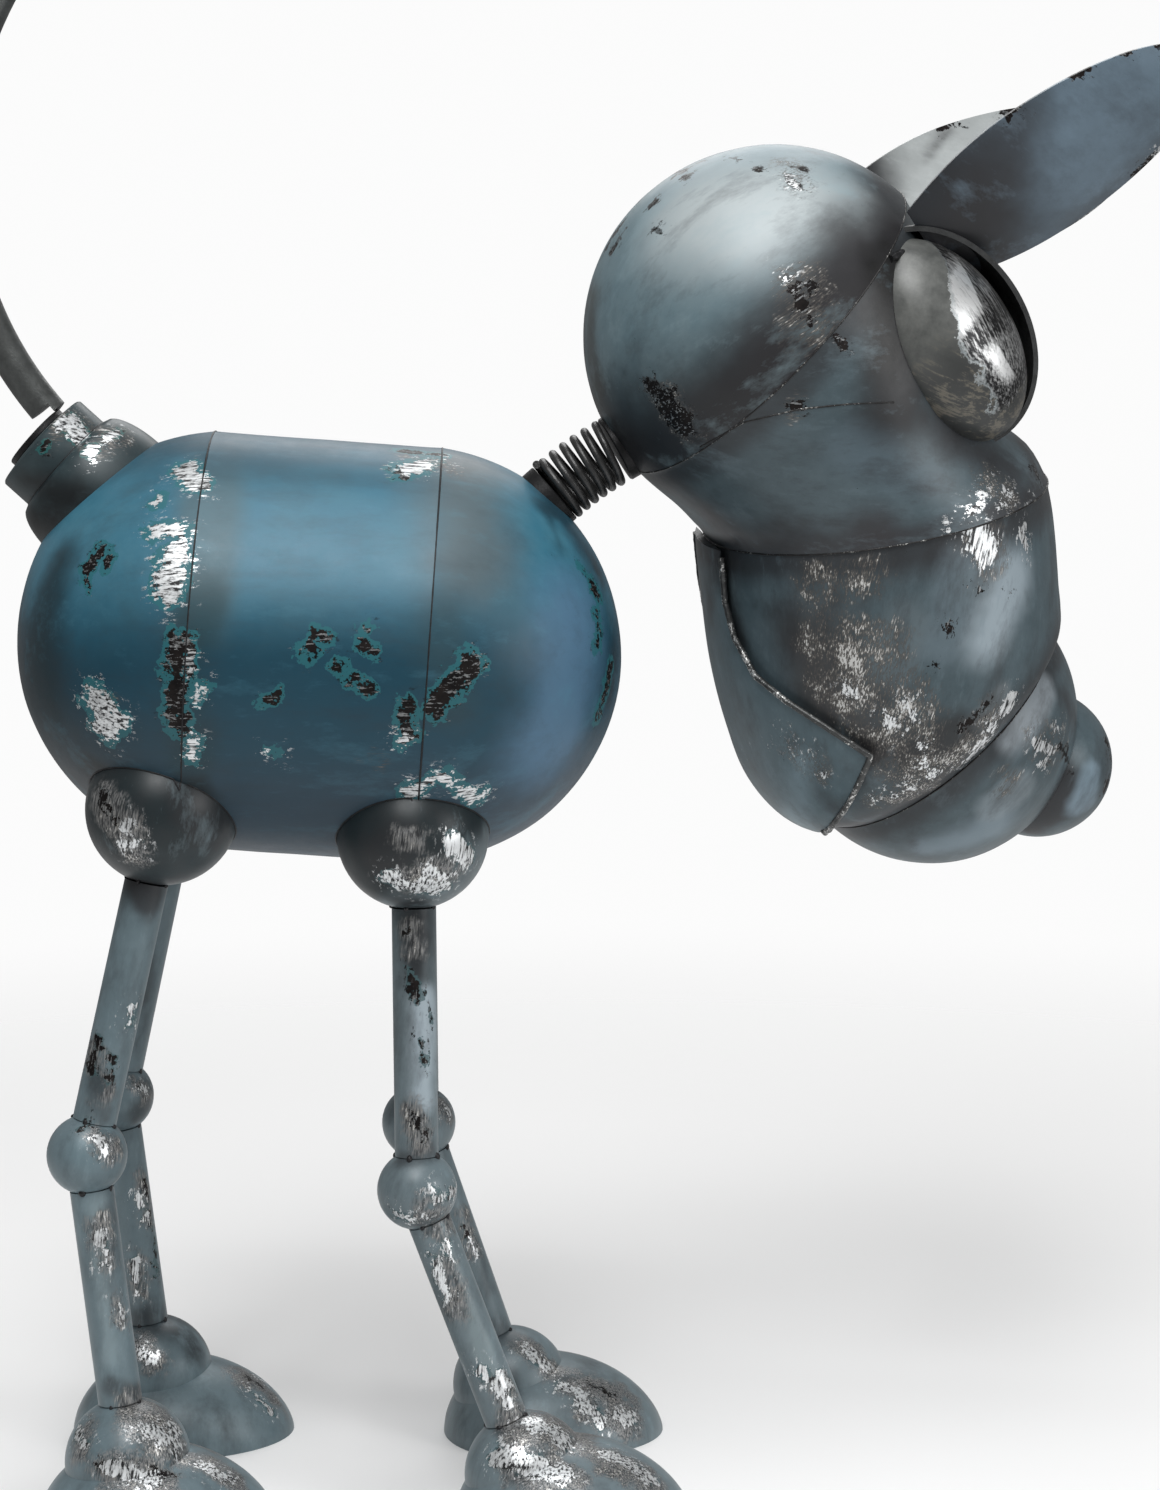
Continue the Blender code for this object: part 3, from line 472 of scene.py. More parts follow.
    # What shows where the paint is gone: brushed steel, and dark scale.
    lines = (brushing - 0.5) * 5.5 + (grain - 0.5) * 1.8
    steel = recipe.mix((lines + 0.60).clamped(), STEEL_GREY, STEEL_BRIGHT)
    core = bright_depth.rise(0.0, 0.007)
    scar = (brushing + (flecks - 0.5) * 0.35 + core * 0.05).rise(0.490, 0.450) * 0.92
    steel = recipe.mix(scar, steel, SCALE_DARK)
    scale = recipe.mix((mottle - 0.30) * 1.5, SCALE_DARK, SCALE_BROWN)
    glint = (brushing + (grain - 0.5) * 0.3).rise(0.560, 0.610)
    scale = recipe.mix(glint * 0.8, scale, STEEL_GREY)
    colour = recipe.mix(dark_mask, colour, scale)
    colour = recipe.mix(bright_mask, colour, steel)

    bare = (bright_mask * 0.70).most(dark_mask)
    if rubbed and buffed:
        bare = bare.most(near * (0.5 * buffed))
    gloss = satin + (mottle - 0.5) * 0.18 + (grain - 0.5) * 0.10 + dark_mask * 0.08 - bright_mask * 0.04
    dents = recipe.cloud(0.014, 4.0, 0.62)
    height = (dents - 0.5) * 0.16 + (recipe.cloud(0.0016, 3.0, 0.7) - 0.5) * 0.08
    recipe.shader.inputs["Specular IOR Level"].default_value = 0.36
    piece.data.materials[0] = recipe.finish(colour, bare * 0.90 + 0.04, gloss, height, 0.0005)


def ball_rings(centre, radii, turn, sides, rows):
    """Rings of a ball or egg, its z first pole down to its last."""
    matrix = Matrix.Translation(centre) @ turn.to_4x4() @ Matrix.Diagonal((*radii, 1.0))
    profile = [(math.sin(math.pi * i / rows), -math.cos(math.pi * i / rows)) for i in range(rows + 1)]
    profile[0] = (0.0, -1.0)
    profile[-1] = (0.0, 1.0)
    return lathe_rings(profile, matrix, sides)


blank = bpy.data.materials.new("blank")
body_forward = in_plane(-BODY_PITCH)
drum_turn = stand(BODY_MIDDLE, -BODY_PITCH)
half_drum = (DRUM_LENGTH - SEAM_GAP) / 2
drum_profile = [(DRUM_RADIUS, half_drum - 2 * half_drum * i / 16) for i in range(17)]
barrel = ringed("drum", lathe_rings(drum_profile, drum_turn, 160), blank, 0.0006)
front_turn = stand(BODY_MIDDLE + body_forward * (half_drum + SEAM_GAP), -BODY_PITCH)
front_rings = lathe_rings(dome_profile(DRUM_RADIUS, FRONT_DEPTH, 36), front_turn, 160)
front_dome = ringed("front_shell", front_rings, blank, 0.0006)
rear_turn = stand(BODY_MIDDLE - body_forward * (half_drum + SEAM_GAP), 180.0 - BODY_PITCH)
rear_rings = lathe_rings(dome_profile(DRUM_RADIUS, REAR_DEPTH, 36), rear_turn, 160)
rear_dome = ringed("rear_shell", rear_rings, blank, 0.0006)
body_surface = surface_of(barrel, front_dome, rear_dome)

CHARCOAL_SHADE = (0.020, 0.021, 0.023)
DEEP_TEAL_SHADE = (0.003, 0.036, 0.060)
front_seam = BODY_MIDDLE + body_forward * (DRUM_LENGTH / 2)
rear_seam = BODY_MIDDLE - body_forward * (DRUM_LENGTH / 2)
body_look = dict(
    blue=(0.024, 0.118, 0.180),
    pale=(0.052, 0.160, 0.215),
    fold=(ROOT, (0, 1, 0)),
    bands=[(rear_seam + body_forward * 0.006, body_forward, 0.026, (0.052, 0.090, 0.100), 0.65)],
    shades=[
        # Darker below the middle: the airbrushed darkening underneath, and painted shade.
        (ROOT + Vector((0, 0, 0.560)), (0, 0, -1), 0.0, 0.055, DEEP_TEAL_SHADE, 0.90),
        # Painted light thrown up from the floor: a lighter band along the bottom.
        (ROOT + Vector((0, 0, 0.470)), (0, 0, -1), 0.0, 0.050, (0.026, 0.048, 0.070), 0.80),
        # Painted shade on the rear end's far, lower side.
        (Vector((-0.270, 0, 0.520)), (-0.8, 0, -0.6), 0.0, 0.065, (0.007, 0.017, 0.023), 0.90),
        # Painted shade over the top, toning down the lamps' highlight there.
        (ROOT + Vector((0, 0, 0.595)), (0, 0, 1), 0.0, 0.034, (0.012, 0.050, 0.076), 0.85),
    ],
    sprays_and_painted_light=(
        (462, 470, 472, 560, 84, (0.085, 0.093, 0.092), 0.72),
        (440, 620, 450, 700, 44, (0.022, 0.050, 0.062), 0.6),
        # Painted highlight on the front dome.
        (574, 620, 556, 740, 84, (0.075, 0.160, 0.250), 0.88),
        (195, 600, 185, 760, 34, (0.010, 0.034, 0.042), 0.6),
        # Painted shade on the front dome round the foot of the neck, under the head.
        (560, 515, 600, 560, 48, (0.010, 0.028, 0.042), 0.8),
        # Painted shade on the rear end's far edge.
        (62, 560, 40, 700, 50, (0.003, 0.018, 0.026), 0.88),
        # Painted shade on the rear dome's underside over the rear hip.
        (95, 770, 190, 790, 26, (0.006, 0.011, 0.013), 0.85),
        # Painted shade round the foot of the neck.
        (545, 510, 560, 545, 26, (0.012, 0.036, 0.052), 0.8),
        # Painted shade along the front end's edge.
        (612, 560, 618, 700, 22, CHARCOAL_SHADE, 0.6),
    ),
    bright=(
        (184, 470, 196, 484, 11), (160, 498, 156, 503, 3), (155, 530, 184, 536, 6),
        (176, 550, 168, 592, 12), (96, 700, 108, 728, 14), (118, 718, 100, 725, 9),
        (192, 738, 192, 755, 2), (200, 690, 196, 700, 4), (410, 468, 440, 477, 11),
        (405, 793, 432, 780, 4), (440, 776, 470, 792, 5), (470, 800, 482, 795, 3), (270, 750, 274, 755, 2),
        (400, 740, 406, 735, 3), (188, 655, 184, 670, 2),
    ),
    dark=(
        (100, 550, 92, 566, 4), (86, 570, 90, 588, 3), (108, 562, 104, 572, 2), (180, 645, 178, 725, 10),
        (318, 634, 328, 638, 2), (364, 644, 374, 651, 4), (300, 652, 312, 650, 2), (336, 666, 343, 664, 3),
        (266, 698, 276, 693, 2), (350, 682, 354, 676, 1), (362, 690, 368, 692, 2), (472, 662, 434, 706, 9),
        (410, 705, 406, 735, 7), (583, 570, 598, 596, 3), (598, 618, 597, 645, 6), (610, 668, 598, 715, 6),
        (365, 628, 368, 630, 1), (398, 468, 404, 478, 4), (404, 451, 440, 455, 5),
    ),
    rubbed=((370, 757, 385, 765, 4), (410, 455, 450, 470, 10), (108, 705, 100, 725, 10)),
    specks=0.004, satin=0.44, mottling=0.8, marks_on=body_surface,
)
for piece, node in ((barrel, "barrel"), (front_dome, "front_dome"), (rear_dome, "rear_dome")):
    painted_steel(piece, node + "_paint", **body_look)
    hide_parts(node)
    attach(piece, "body")


# Head: a skull dome, a bent face shell, a bent muzzle shell and a nose dome, rolled and pressed from
# sheet and welded edge to edge, with a ball for the nose's tip. Greyer blue paint with charcoal
# airbrushing. Painted shade darkens the creases round the eyes, the face under the eyes, the skull's
# back and lower side, the head's underside towards the throat and the lower side of the nose ball;
# painted highlights light the skull's top, the muzzle's front and the nose ball's right side.
# Everything is measured from the skull's middle, then turned with the head.

HEAD_TURN = 12.0
NECK_PIVOT = ROOT + Vector((0.15952, 0, 0.61257))
SKULL_OFFSET = Vector((0.11218, 0, 0.07804))
SKULL_RADIUS = 0.1128
SKULL_DEPTH = 0.1063
FACE_HINGE = Vector((-0.14074, 0, -0.14140))
MUZZLE_HINGE = Vector((0.30531, 0, -0.05631))
FACE_SECTIONS = (
    (47.0, 0.0868, 0.3120), (40.0, 0.0874, 0.3046), (33.0, 0.0900, 0.2980), (25.0, 0.0950, 0.2895),
    (18.0, 0.1000, 0.2970), (14.5, 0.1034, 0.3095), (10.8, 0.1065, 0.3165),
)
FACE_HALF_WIDTHS = (0.1126, 0.1072)
MUZZLE_SECTIONS = (
    (10.8, 0.1376, 0.3477), (17.5, 0.1379, 0.3528), (24.0, 0.1411, 0.3608), (30.0, 0.1465, 0.3682),
    (34.5, 0.1520, 0.3735), (38.5, 0.1578, 0.3726), (41.3, 0.1643, 0.3668), (43.0, 0.1755, 0.3581),
)
MUZZLE_EXTRA_WIDTH = 0.0009
NOSE_DEPTH = 0.0887
NOSE_BALL_RADIUS = 0.0468
NOSE_BALL_REACH = 0.0782
NOSE_BALL_AIM = -23.9

neck_turn = (
    Matrix.Translation(NECK_PIVOT)
    @ Matrix.Rotation(math.radians(HEAD_TURN), 4, SKULL_OFFSET.normalized())
)
head_place = neck_turn @ Matrix.Translation(SKULL_OFFSET)
head_left = head_place.to_3x3() @ Vector((0, 1, 0))
head_fold = (head_place @ Vector((0, 0, 0)), head_left)


def smoothed(sections, rows):
    """More sections between the measured ones, on a smooth curve through them."""
    angles = [section[0] for section in sections]
    onward = angles[-1] - angles[0]
    out = []
    for i in range(rows + 1):
        angle = angles[0] + onward * i / rows
        span = max(k for k in range(len(angles) - 1) if (angle - angles[k]) * onward >= -1e-9)
        width = angles[span + 1] - angles[span]
        share = (angle - angles[span]) / width
        square, cube = share**2, share**3
        row = [angle]
        for side in (1, 2):
            values = [section[side] for section in sections]

            def slope(k):
                low, high = max(k - 1, 0), min(k + 1, len(values) - 1)
                return (values[high] - values[low]) / (angles[high] - angles[low])

            row.append(
                (2 * cube - 3 * square + 1) * values[span]
                + (cube - 2 * square + share) * width * slope(span)
                + (3 * square - 2 * cube) * values[span + 1]
                + (cube - square) * width * slope(span + 1)
            )
        out.append(tuple(row))
    return out


def oval(centre, heading, in_radius, side_radius, sides):
    """An oval ring on the head, square to a heading in its lengthwise plane."""
    across = in_plane(heading + 90.0)
    ring = []
    for i in range(sides):
        angle = math.tau * i / sides
        offset = across * (in_radius * math.cos(angle)) + Vector((0, -side_radius * math.sin(angle), 0))
        ring.append(head_place @ (centre + offset))
    return ring


def bent_rings(hinge, way, sections, half_width, grow, sides, rows):
    """Rings of a shell bent round a hinge, which is behind its sections (way 1) or ahead of them (-1)."""
    rings = []
    for i, (angle, near, far) in enumerate(smoothed(sections, rows)):
        half = (far - near) / 2
        centre = hinge + in_plane(angle) * (way * (near + far) / 2)
        rings.append(oval(centre, angle - 90.0, half + grow, half_width(half, i / rows) + grow, sides))
    return rings


def face_half_width(half, share):
    return FACE_HALF_WIDTHS[0] + (FACE_HALF_WIDTHS[1] - FACE_HALF_WIDTHS[0]) * share


def muzzle_half_width(half, share):
    return half + MUZZLE_EXTRA_WIDTH * (1 - share)


def face_rings(grow, sides=144, rows=36):
    return bent_rings(FACE_HINGE, 1, FACE_SECTIONS, face_half_width, grow, sides, rows)


def muzzle_rings(grow):
    return bent_rings(MUZZLE_HINGE, -1, MUZZLE_SECTIONS, muzzle_half_width, grow, 144, 44)


brow_aim = FACE_SECTIONS[0][0] - 90.0
brow_middle = in_plane(brow_aim) * (SKULL_DEPTH - SKULL_RADIUS)
brow_radius = math.sqrt(SKULL_RADIUS**2 - (SKULL_RADIUS - SKULL_DEPTH) ** 2)
skull_rings = lathe_rings(
    dome_profile(brow_radius, SKULL_DEPTH, 40), head_place @ stand(brow_middle, brow_aim + 180.0), 144
)
skull = ringed("skull_shell", skull_rings, blank, 0.0005)
face = ringed("face_shell", face_rings(0.0), blank, 0.0006)
muzzle = ringed("muzzle_shell", muzzle_rings(0.0), blank, 0.0006)
nose_angle, nose_near, nose_far = MUZZLE_SECTIONS[-1]
nose_seam = MUZZLE_HINGE - in_plane(nose_angle) * ((nose_near + nose_far) / 2)
nose_aim = nose_angle - 90.0
nose_rim = (nose_far - nose_near) / 2
nose_rings = lathe_rings(
    dome_profile(nose_rim, NOSE_DEPTH, 36), head_place @ stand(nose_seam, nose_aim), 144
)
nose = ringed("nose_shell", nose_rings, blank, 0.0005)
nose_radius = (nose_rim**2 + NOSE_DEPTH**2) / (2 * NOSE_DEPTH)
nose_middle = nose_seam + in_plane(nose_aim) * (NOSE_DEPTH - nose_radius)
tip_middle = head_place @ (nose_middle + in_plane(NOSE_BALL_AIM) * NOSE_BALL_REACH)
tip_rings = ball_rings(tip_middle, (NOSE_BALL_RADIUS,) * 3, head_place.to_3x3(), 72, 40)
nose_ball = ringed("nose_tip", tip_rings, blank, 0.0002)
head_surface = surface_of(skull, face, muzzle, nose, nose_ball)


def seam_plane(place, heading):
    """A plane across the head, from its place and heading there: a point and a normal."""
    return tuple(head_place @ place), tuple(head_place.to_3x3() @ in_plane(heading))


brow_seam_plane = seam_plane(brow_middle, brow_aim)
cheek_angle = FACE_SECTIONS[-1][0]
cheek_seam_plane = seam_plane(FACE_HINGE + in_plane(cheek_angle) * 0.21, cheek_angle - 90.0)
nose_seam_plane = seam_plane(nose_seam, nose_aim)

HEAD_BLUE = (0.046, 0.070, 0.081)
HEAD_PALE = (0.088, 0.122, 0.140)
# Near-black grey: dark paint at the seams and joints, and painted shade in creases and under parts.
DARK_PAINT_AND_SHADE = (0.022, 0.021, 0.023)
head_paint = dict(blue=HEAD_BLUE, pale=HEAD_PALE, fold=head_fold, halo=0.0, marks_on=head_surface)
skull_look = dict(
    blue=(0.095, 0.150, 0.175),
    pale=(0.150, 0.205, 0.225),
    fold=head_fold,
    bands=[(*brow_seam_plane, 0.048, DARK_PAINT_AND_SHADE, 0.92)],
    sprays_and_painted_light=(
        # Painted highlight over the skull's top.
        (705, 215, 790, 205, 105, (0.36, 0.40, 0.41), 0.92),
        # Painted shade on the skull's lower side, above the neck.
        (610, 430, 730, 400, 90, (0.016, 0.016, 0.018), 0.92),
        (775, 345, 850, 255, 76, DARK_PAINT_AND_SHADE, 0.90),
        # Painted shade in the crease between the skull and the eye hood (this line and the next).
        (872, 300, 900, 240, 42, (0.012, 0.011, 0.012), 0.9),
        (880, 270, 890, 262, 34, (0.006, 0.006, 0.006), 0.97),
        # Painted shade along the skull's back edge.
        (592, 300, 596, 380, 26, (0.040, 0.042, 0.038), 0.7),
    ),
    bright=((782, 272, 786, 276, 1), (790, 178, 798, 186, 1)),
    dark=(
        (655, 388, 684, 424, 12), (655, 228, 660, 232, 1), (792, 166, 802, 168, 2),
        (795, 182, 800, 186, 1), (678, 166, 684, 168, 1), (730, 158, 740, 160, 1), (620, 238, 626, 228, 1),
        (640, 196, 648, 190, 1), (668, 180, 672, 178, 1), (612, 252, 616, 246, 1), (700, 162, 706, 160, 1),
        (760, 170, 764, 172, 1), (795, 290, 812, 322, 2), (812, 285, 800, 305, 1), (820, 305, 822, 318, 1),
    ),
    rubbed=((800, 285, 815, 330, 24), (790, 165, 800, 185, 14), (660, 392, 690, 432, 14)),
    strokes=(0.0, 0.6, 0.0), undercoat=(0.040, 0.045, 0.048), halo=0.0012, specks=0.014, mottling=1.3,
    marks_on=head_surface,
)
face_look = dict(
    head_paint,
    bands=[(*brow_seam_plane, 0.022, DARK_PAINT_AND_SHADE, 0.7), (*cheek_seam_plane, 0.018, (0.028, 0.027, 0.030), 0.8)],
    sprays_and_painted_light=(
        # Painted shade in the creases where the eye meets the face and the skull (this line and the next).
        (905, 280, 895, 410, 60, (0.012, 0.011, 0.012), 0.92),
        (885, 270, 888, 350, 40, (0.007, 0.007, 0.007), 0.97),
        (930, 480, 850, 455, 40, (0.085, 0.120, 0.145), 0.5),
        # Painted shade under the eye (this line and the next).
        (950, 430, 1010, 470, 50, (0.026, 0.025, 0.028), 0.8),
        (1020, 440, 1035, 480, 30, DARK_PAINT_AND_SHADE, 0.8),
        # Painted shade low on the face and towards the throat (this line and the next).
        (720, 525, 880, 525, 38, (0.028, 0.026, 0.029), 0.8),
        (640, 480, 690, 520, 30, DARK_PAINT_AND_SHADE, 0.5),
    ),
    bright=(
        (985, 495, 975, 512, 6), (1000, 487, 1010, 495, 3), (1030, 505, 1028, 520, 4),
        (955, 515, 950, 528, 2), (1005, 505, 998, 512, 3),
    ),
    dark=((800, 405, 790, 410, 3), (1030, 465, 1040, 480, 4), (838, 336, 845, 345, 2)),
    rubbed=((985, 480, 1010, 500, 14), (800, 405, 790, 412, 6)),
    specks=0.014, mottling=1.8,
)
muzzle_look = dict(
    head_paint,
    bands=[(*cheek_seam_plane, 0.026, DARK_PAINT_AND_SHADE, 0.8), (*nose_seam_plane, 0.026, DARK_PAINT_AND_SHADE, 0.75)],
    sprays_and_painted_light=(
        # Painted shade on the muzzle's underside towards the throat.
        (720, 580, 740, 640, 34, (0.030, 0.032, 0.034), 0.8),
        (800, 640, 850, 740, 75, (0.034, 0.031, 0.031), 0.85),
        # Painted highlight on the muzzle's front.
        (1016, 575, 990, 640, 40, (0.30, 0.36, 0.40), 0.8),
        (960, 570, 940, 640, 30, (0.12, 0.16, 0.185), 0.6),
        (910, 620, 890, 660, 30, (0.11, 0.14, 0.155), 0.6),
        (1005, 690, 985, 720, 18, (0.16, 0.18, 0.19), 0.6),
        (835, 752, 960, 740, 38, (0.014, 0.012, 0.012), 0.8),
    ),
    bright=(
        (975, 530, 988, 550, 13), (1022, 530, 1026, 550, 4), (1012, 700, 990, 730, 5),
        (985, 740, 970, 758, 6), (878, 800, 888, 796, 3), (908, 790, 920, 786, 2), (885, 715, 900, 735, 3),
        (925, 748, 925, 765, 3), (846, 690, 856, 692, 2), (905, 702, 912, 712, 2), (930, 776, 936, 772, 2),
    ),
    dark=(
        (946, 625, 949, 631, 2), (975, 585, 981, 590, 1), (962, 730, 990, 705, 3),
        (1006, 590, 1010, 594, 1), (932, 660, 936, 664, 1),
    ),
    rubbed=(
        (850, 680, 900, 720, 46), (890, 730, 915, 775, 34), (825, 640, 880, 650, 30),
        (815, 585, 870, 575, 20), (990, 720, 965, 755, 20), (880, 800, 920, 790, 16),
        (985, 540, 990, 550, 24),
    ),
    strokes=(0.0, 1.35, 0.0), specks=0.016, mottling=1.9,
)
nose_look = dict(
    head_paint,
    bands=[(*nose_seam_plane, 0.020, DARK_PAINT_AND_SHADE, 0.7)],
    sprays_and_painted_light=(
        # Painted shade on the lower side of the nose ball, where it meets the nose dome.
        (1065, 780, 1030, 830, 22, DARK_PAINT_AND_SHADE, 0.85),
        (1060, 690, 1075, 730, 20, DARK_PAINT_AND_SHADE, 0.6),
        (1045, 690, 1010, 740, 28, (0.29, 0.33, 0.36), 0.8),
        (930, 848, 990, 830, 34, (0.19, 0.25, 0.29), 0.75),
        (995, 805, 1015, 785, 24, (0.20, 0.245, 0.27), 0.7),
        # Painted highlight on the nose ball's right side.
        (1085, 800, 1095, 770, 20, (0.22, 0.30, 0.36), 0.7),
    ),
    bright=(
        (1036, 742, 1052, 748, 4), (1058, 726, 1060, 730, 2), (1046, 762, 1038, 765, 3),
    ),
    dark=((1060, 745, 1068, 765, 2), (1106, 740, 1107, 785, 4)),
    rubbed=((1040, 740, 1058, 750, 18), (1000, 790, 1010, 780, 10)),
    strokes=(0.0, 1.1, 0.0), specks=0.012, mottling=1.5,
)
for piece, node, paint_look in (
    (skull, "skull", skull_look), (face, "face", face_look), (muzzle, "muzzle", muzzle_look),
    (nose, "nose_dome", nose_look), (nose_ball, "nose_ball", nose_look),
):
    painted_steel(piece, node + "_paint", **paint_look)
    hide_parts(node)
    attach(piece, "head")


# Jaw: a plate of 5 mm wrapped round the throat side of the muzzle, with a rod welded along its cut
# edge. The rod's paint is rubbed down to steel along its crest.

JAW_THICKNESS = 0.0047
JAW_EDGE = (
    (-0.0350, -0.1250), (-0.0317, -0.1522), (-0.0267, -0.1722), (-0.0167, -0.1922), (-0.0017, -0.2032),
    (0.0173, -0.2142), (0.0433, -0.2302), (0.0403, -0.2432), (0.0333, -0.2790), (0.0323, -0.2952),
)
ROD_RADIUS = 0.0019
ROD_RISE = 0.0006


def solid_of(obj, *cuts):
    """The piece after its Boolean cuts, as a plain mesh; the cutters go."""
    for operation, tool in cuts:
        boolean = obj.modifiers.new("Cut", "BOOLEAN")
        boolean.solver = "EXACT"
        boolean.operation = operation
        boolean.object = tool
    graph = bpy.context.evaluated_depsgraph_get()
    mesh = bpy.data.meshes.new_from_object(obj.evaluated_get(graph))
    obj.modifiers.clear()
    obj.data = mesh
    for _, tool in cuts:
        bpy.data.objects.remove(tool)
    mesh.shade_smooth()
    mesh.set_sharp_from_angle(angle=SHARP_EDGE)
    return obj


def side_at(x, z, grow):
    """Half the muzzle's width at a place of its side view, or nothing beyond its outline."""
    from_hinge = MUZZLE_HINGE - Vector((x, 0, z))
    angle = math.degrees(math.atan2(from_hinge.z, from_hinge.x))
    angle = min(max(angle, MUZZLE_SECTIONS[0][0]), MUZZLE_SECTIONS[-1][0])
    rows = smoothed(MUZZLE_SECTIONS, 60)
    row = min(range(len(rows)), key=lambda k: abs(rows[k][0] - angle))
    near, far = rows[row][1:]
    half = (far - near) / 2
    share = (from_hinge.length - (near + far) / 2) / (half + grow)
    width = muzzle_half_width(half, row / 60) + grow
    return width * math.sqrt(1 - share**2) if abs(share) < 1 else None


reach = FACE_HALF_WIDTHS[0]
behind = ((JAW_EDGE[-1][0], JAW_EDGE[-1][1] - reach), (-reach, JAW_EDGE[-1][1] - reach))
above = ((-reach, JAW_EDGE[0][1] + reach), (JAW_EDGE[0][0], JAW_EDGE[0][1] + reach))
jaw_view = JAW_EDGE + behind + above
jaw_sides = [[head_place @ Vector((x, y, z)) for x, z in jaw_view] for y in (-2 * reach, 2 * reach)]
jaw = solid_of(
    ringed("jaw_plate", muzzle_rings(JAW_THICKNESS), blank),
    ("INTERSECT", ringed("jaw_view", jaw_sides, blank)),
    ("DIFFERENCE", ringed("jaw_inside", muzzle_rings(SEAM_GAP), blank)),
)
jaw_look = dict(
    head_paint,
    blue=(0.062, 0.098, 0.115),
    pale=(0.105, 0.150, 0.172),
    bands=[(*cheek_seam_plane, 0.020, DARK_PAINT_AND_SHADE, 0.8)],
    sprays_and_painted_light=(
        (800, 745, 835, 800, 18, DARK_PAINT_AND_SHADE, 0.6),
        (765, 795, 800, 815, 28, (0.20, 0.28, 0.32), 0.7),
        # Painted shade at the plate's back edge, in the throat.
        (705, 560, 715, 620, 24, DARK_PAINT_AND_SHADE, 0.6),
    ),
    bright=((796, 741, 814, 748, 4), (820, 767, 828, 771, 4), (745, 755, 748, 760, 1)),
    dark=((786, 750, 790, 757, 1), (832, 775, 836, 778, 1)),
    rubbed=((795, 738, 825, 765, 14),),
    strokes=(0.0, 1.35, 0.0), specks=0.016, mottling=1.6,
)
painted_steel(jaw, "jaw_paint", **jaw_look)
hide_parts("jaw")
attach(jaw, "head")


class Growth(Nodes):
    """A geometry tree with named inputs that grows pieces along lines or on points."""

    def __init__(self, name, kinds):
        super().__init__(bpy.data.node_groups.new(name, "GeometryNodeTree"))
        sockets = self.tree.interface
        sockets.new_socket("Geometry", in_out="OUTPUT", socket_type="NodeSocketGeometry")
        sockets.new_socket("Paths", in_out="INPUT", socket_type="NodeSocketGeometry")
        self.inputs = {}
        for label, kind in kinds.items():
            socket = sockets.new_socket(label, in_out="INPUT", socket_type="NodeSocket" + kind)
            self.inputs[label] = socket.identifier
        given = self.tree.nodes.new("NodeGroupInput")
        self.given = {label: Amount(self, given.outputs[label]) for label in ("Paths", *kinds)}

    def finish(self, grown):
        """What the tree gives: the grown form, realized and in its metal."""
        realized = self.add("GeometryNodeRealizeInstances", inputs={"Geometry": grown})
        sockets = {"Geometry": realized, "Material": self.given["Metal"]}
        dressed = self.add("GeometryNodeSetMaterial", inputs=sockets)
        self.feed(self.tree.nodes.new("NodeGroupOutput").inputs["Geometry"], dressed)

    def grow(self, name, paths, **values):
        """The form on these paths, each (points, closed), as a piece with a plain mesh."""
        points, edges = [], []
        for path, closed in paths:
            first = len(points)
            points.extend(tuple(point) for point in path)
            edges.extend((first + i, first + i + 1) for i in range(len(path) - 1))
            if closed:
                edges.append((first + len(path) - 1, first))
        lines = bpy.data.meshes.new("lines")
        lines.from_pydata(points, edges, [])
        obj = bpy.data.objects.new(name, lines)
        bpy.context.scene.collection.objects.link(obj)
        modifier = obj.modifiers.new("Grow", "NODES")
        modifier.node_group = self.tree
        for label, value in values.items():
            modifier[self.inputs[label]] = value
        graph = bpy.context.evaluated_depsgraph_get()
        mesh = bpy.data.meshes.new_from_object(obj.evaluated_get(graph))
        obj.modifiers.clear()
        obj.data = mesh
        mesh.name = name
        mesh.shade_smooth()
        return obj


bead = Growth(
    "bead", {"Radius": "Float", "Unevenness": "Float", "Pitch": "Float", "Sides": "Int", "Metal": "Material"}
)
line = bead.add("GeometryNodeMeshToCurve", inputs={"Mesh": bead.given["Paths"]})
spacing = {"Curve": line, "Length": bead.given["Pitch"]}
line = bead.add("GeometryNodeResampleCurve", {"mode": "LENGTH"}, spacing)
frequency = bead.add("ShaderNodeMath", {"operation": "DIVIDE"}, {0: 0.5, 1: bead.given["Pitch"]})
ripple = bead.add("ShaderNodeTexNoise", inputs={"Scale": frequency}) - 0.5
thickness = ripple.math("MULTIPLY_ADD", bead.given["Unevenness"], 1.0) * bead.given["Radius"]
outline = {"Radius": 1.0, "Resolution": bead.given["Sides"]}
circle = bead.add("GeometryNodeCurvePrimitiveCircle", inputs=outline)
bead.finish(bead.add(
    "GeometryNodeCurveToMesh",
    inputs={"Curve": line, "Scale": thickness, "Profile Curve": circle, "Fill Caps": True},
))


def dark_steel(name, shade, shine, bright_share, roughness):
    """Bare or blackened steel: dark, mottled, brighter where it is rubbed."""
    recipe = Recipe(name)
    lumps = recipe.cloud(0.010, 5.0, 0.65)
    fine = recipe.cloud(0.0015, 4.0, 0.7)
    base = recipe.mix((lumps - 0.35) * 1.4, tuple(c * 0.6 for c in shade), tuple(c * 1.5 for c in shade))
    rubbed = (lumps * 0.5 + fine * 0.5).rise(0.66 - bright_share, 0.70 - bright_share)
    gloss = roughness + (fine - 0.5) * 0.25 - rubbed * 0.06
    return recipe.finish(
        recipe.mix(rubbed, base, shine), rubbed * 0.3 + 0.6, gloss, fine + lumps * 0.5, 0.0004
    )


weld_metal = dark_steel("weld_metal", (0.026, 0.026, 0.028), (0.30, 0.31, 0.31), 0.04, 0.42)
rod_metal = dark_steel("rod_metal", (0.085, 0.088, 0.088), (0.72, 0.72, 0.70), 0.12, 0.38)

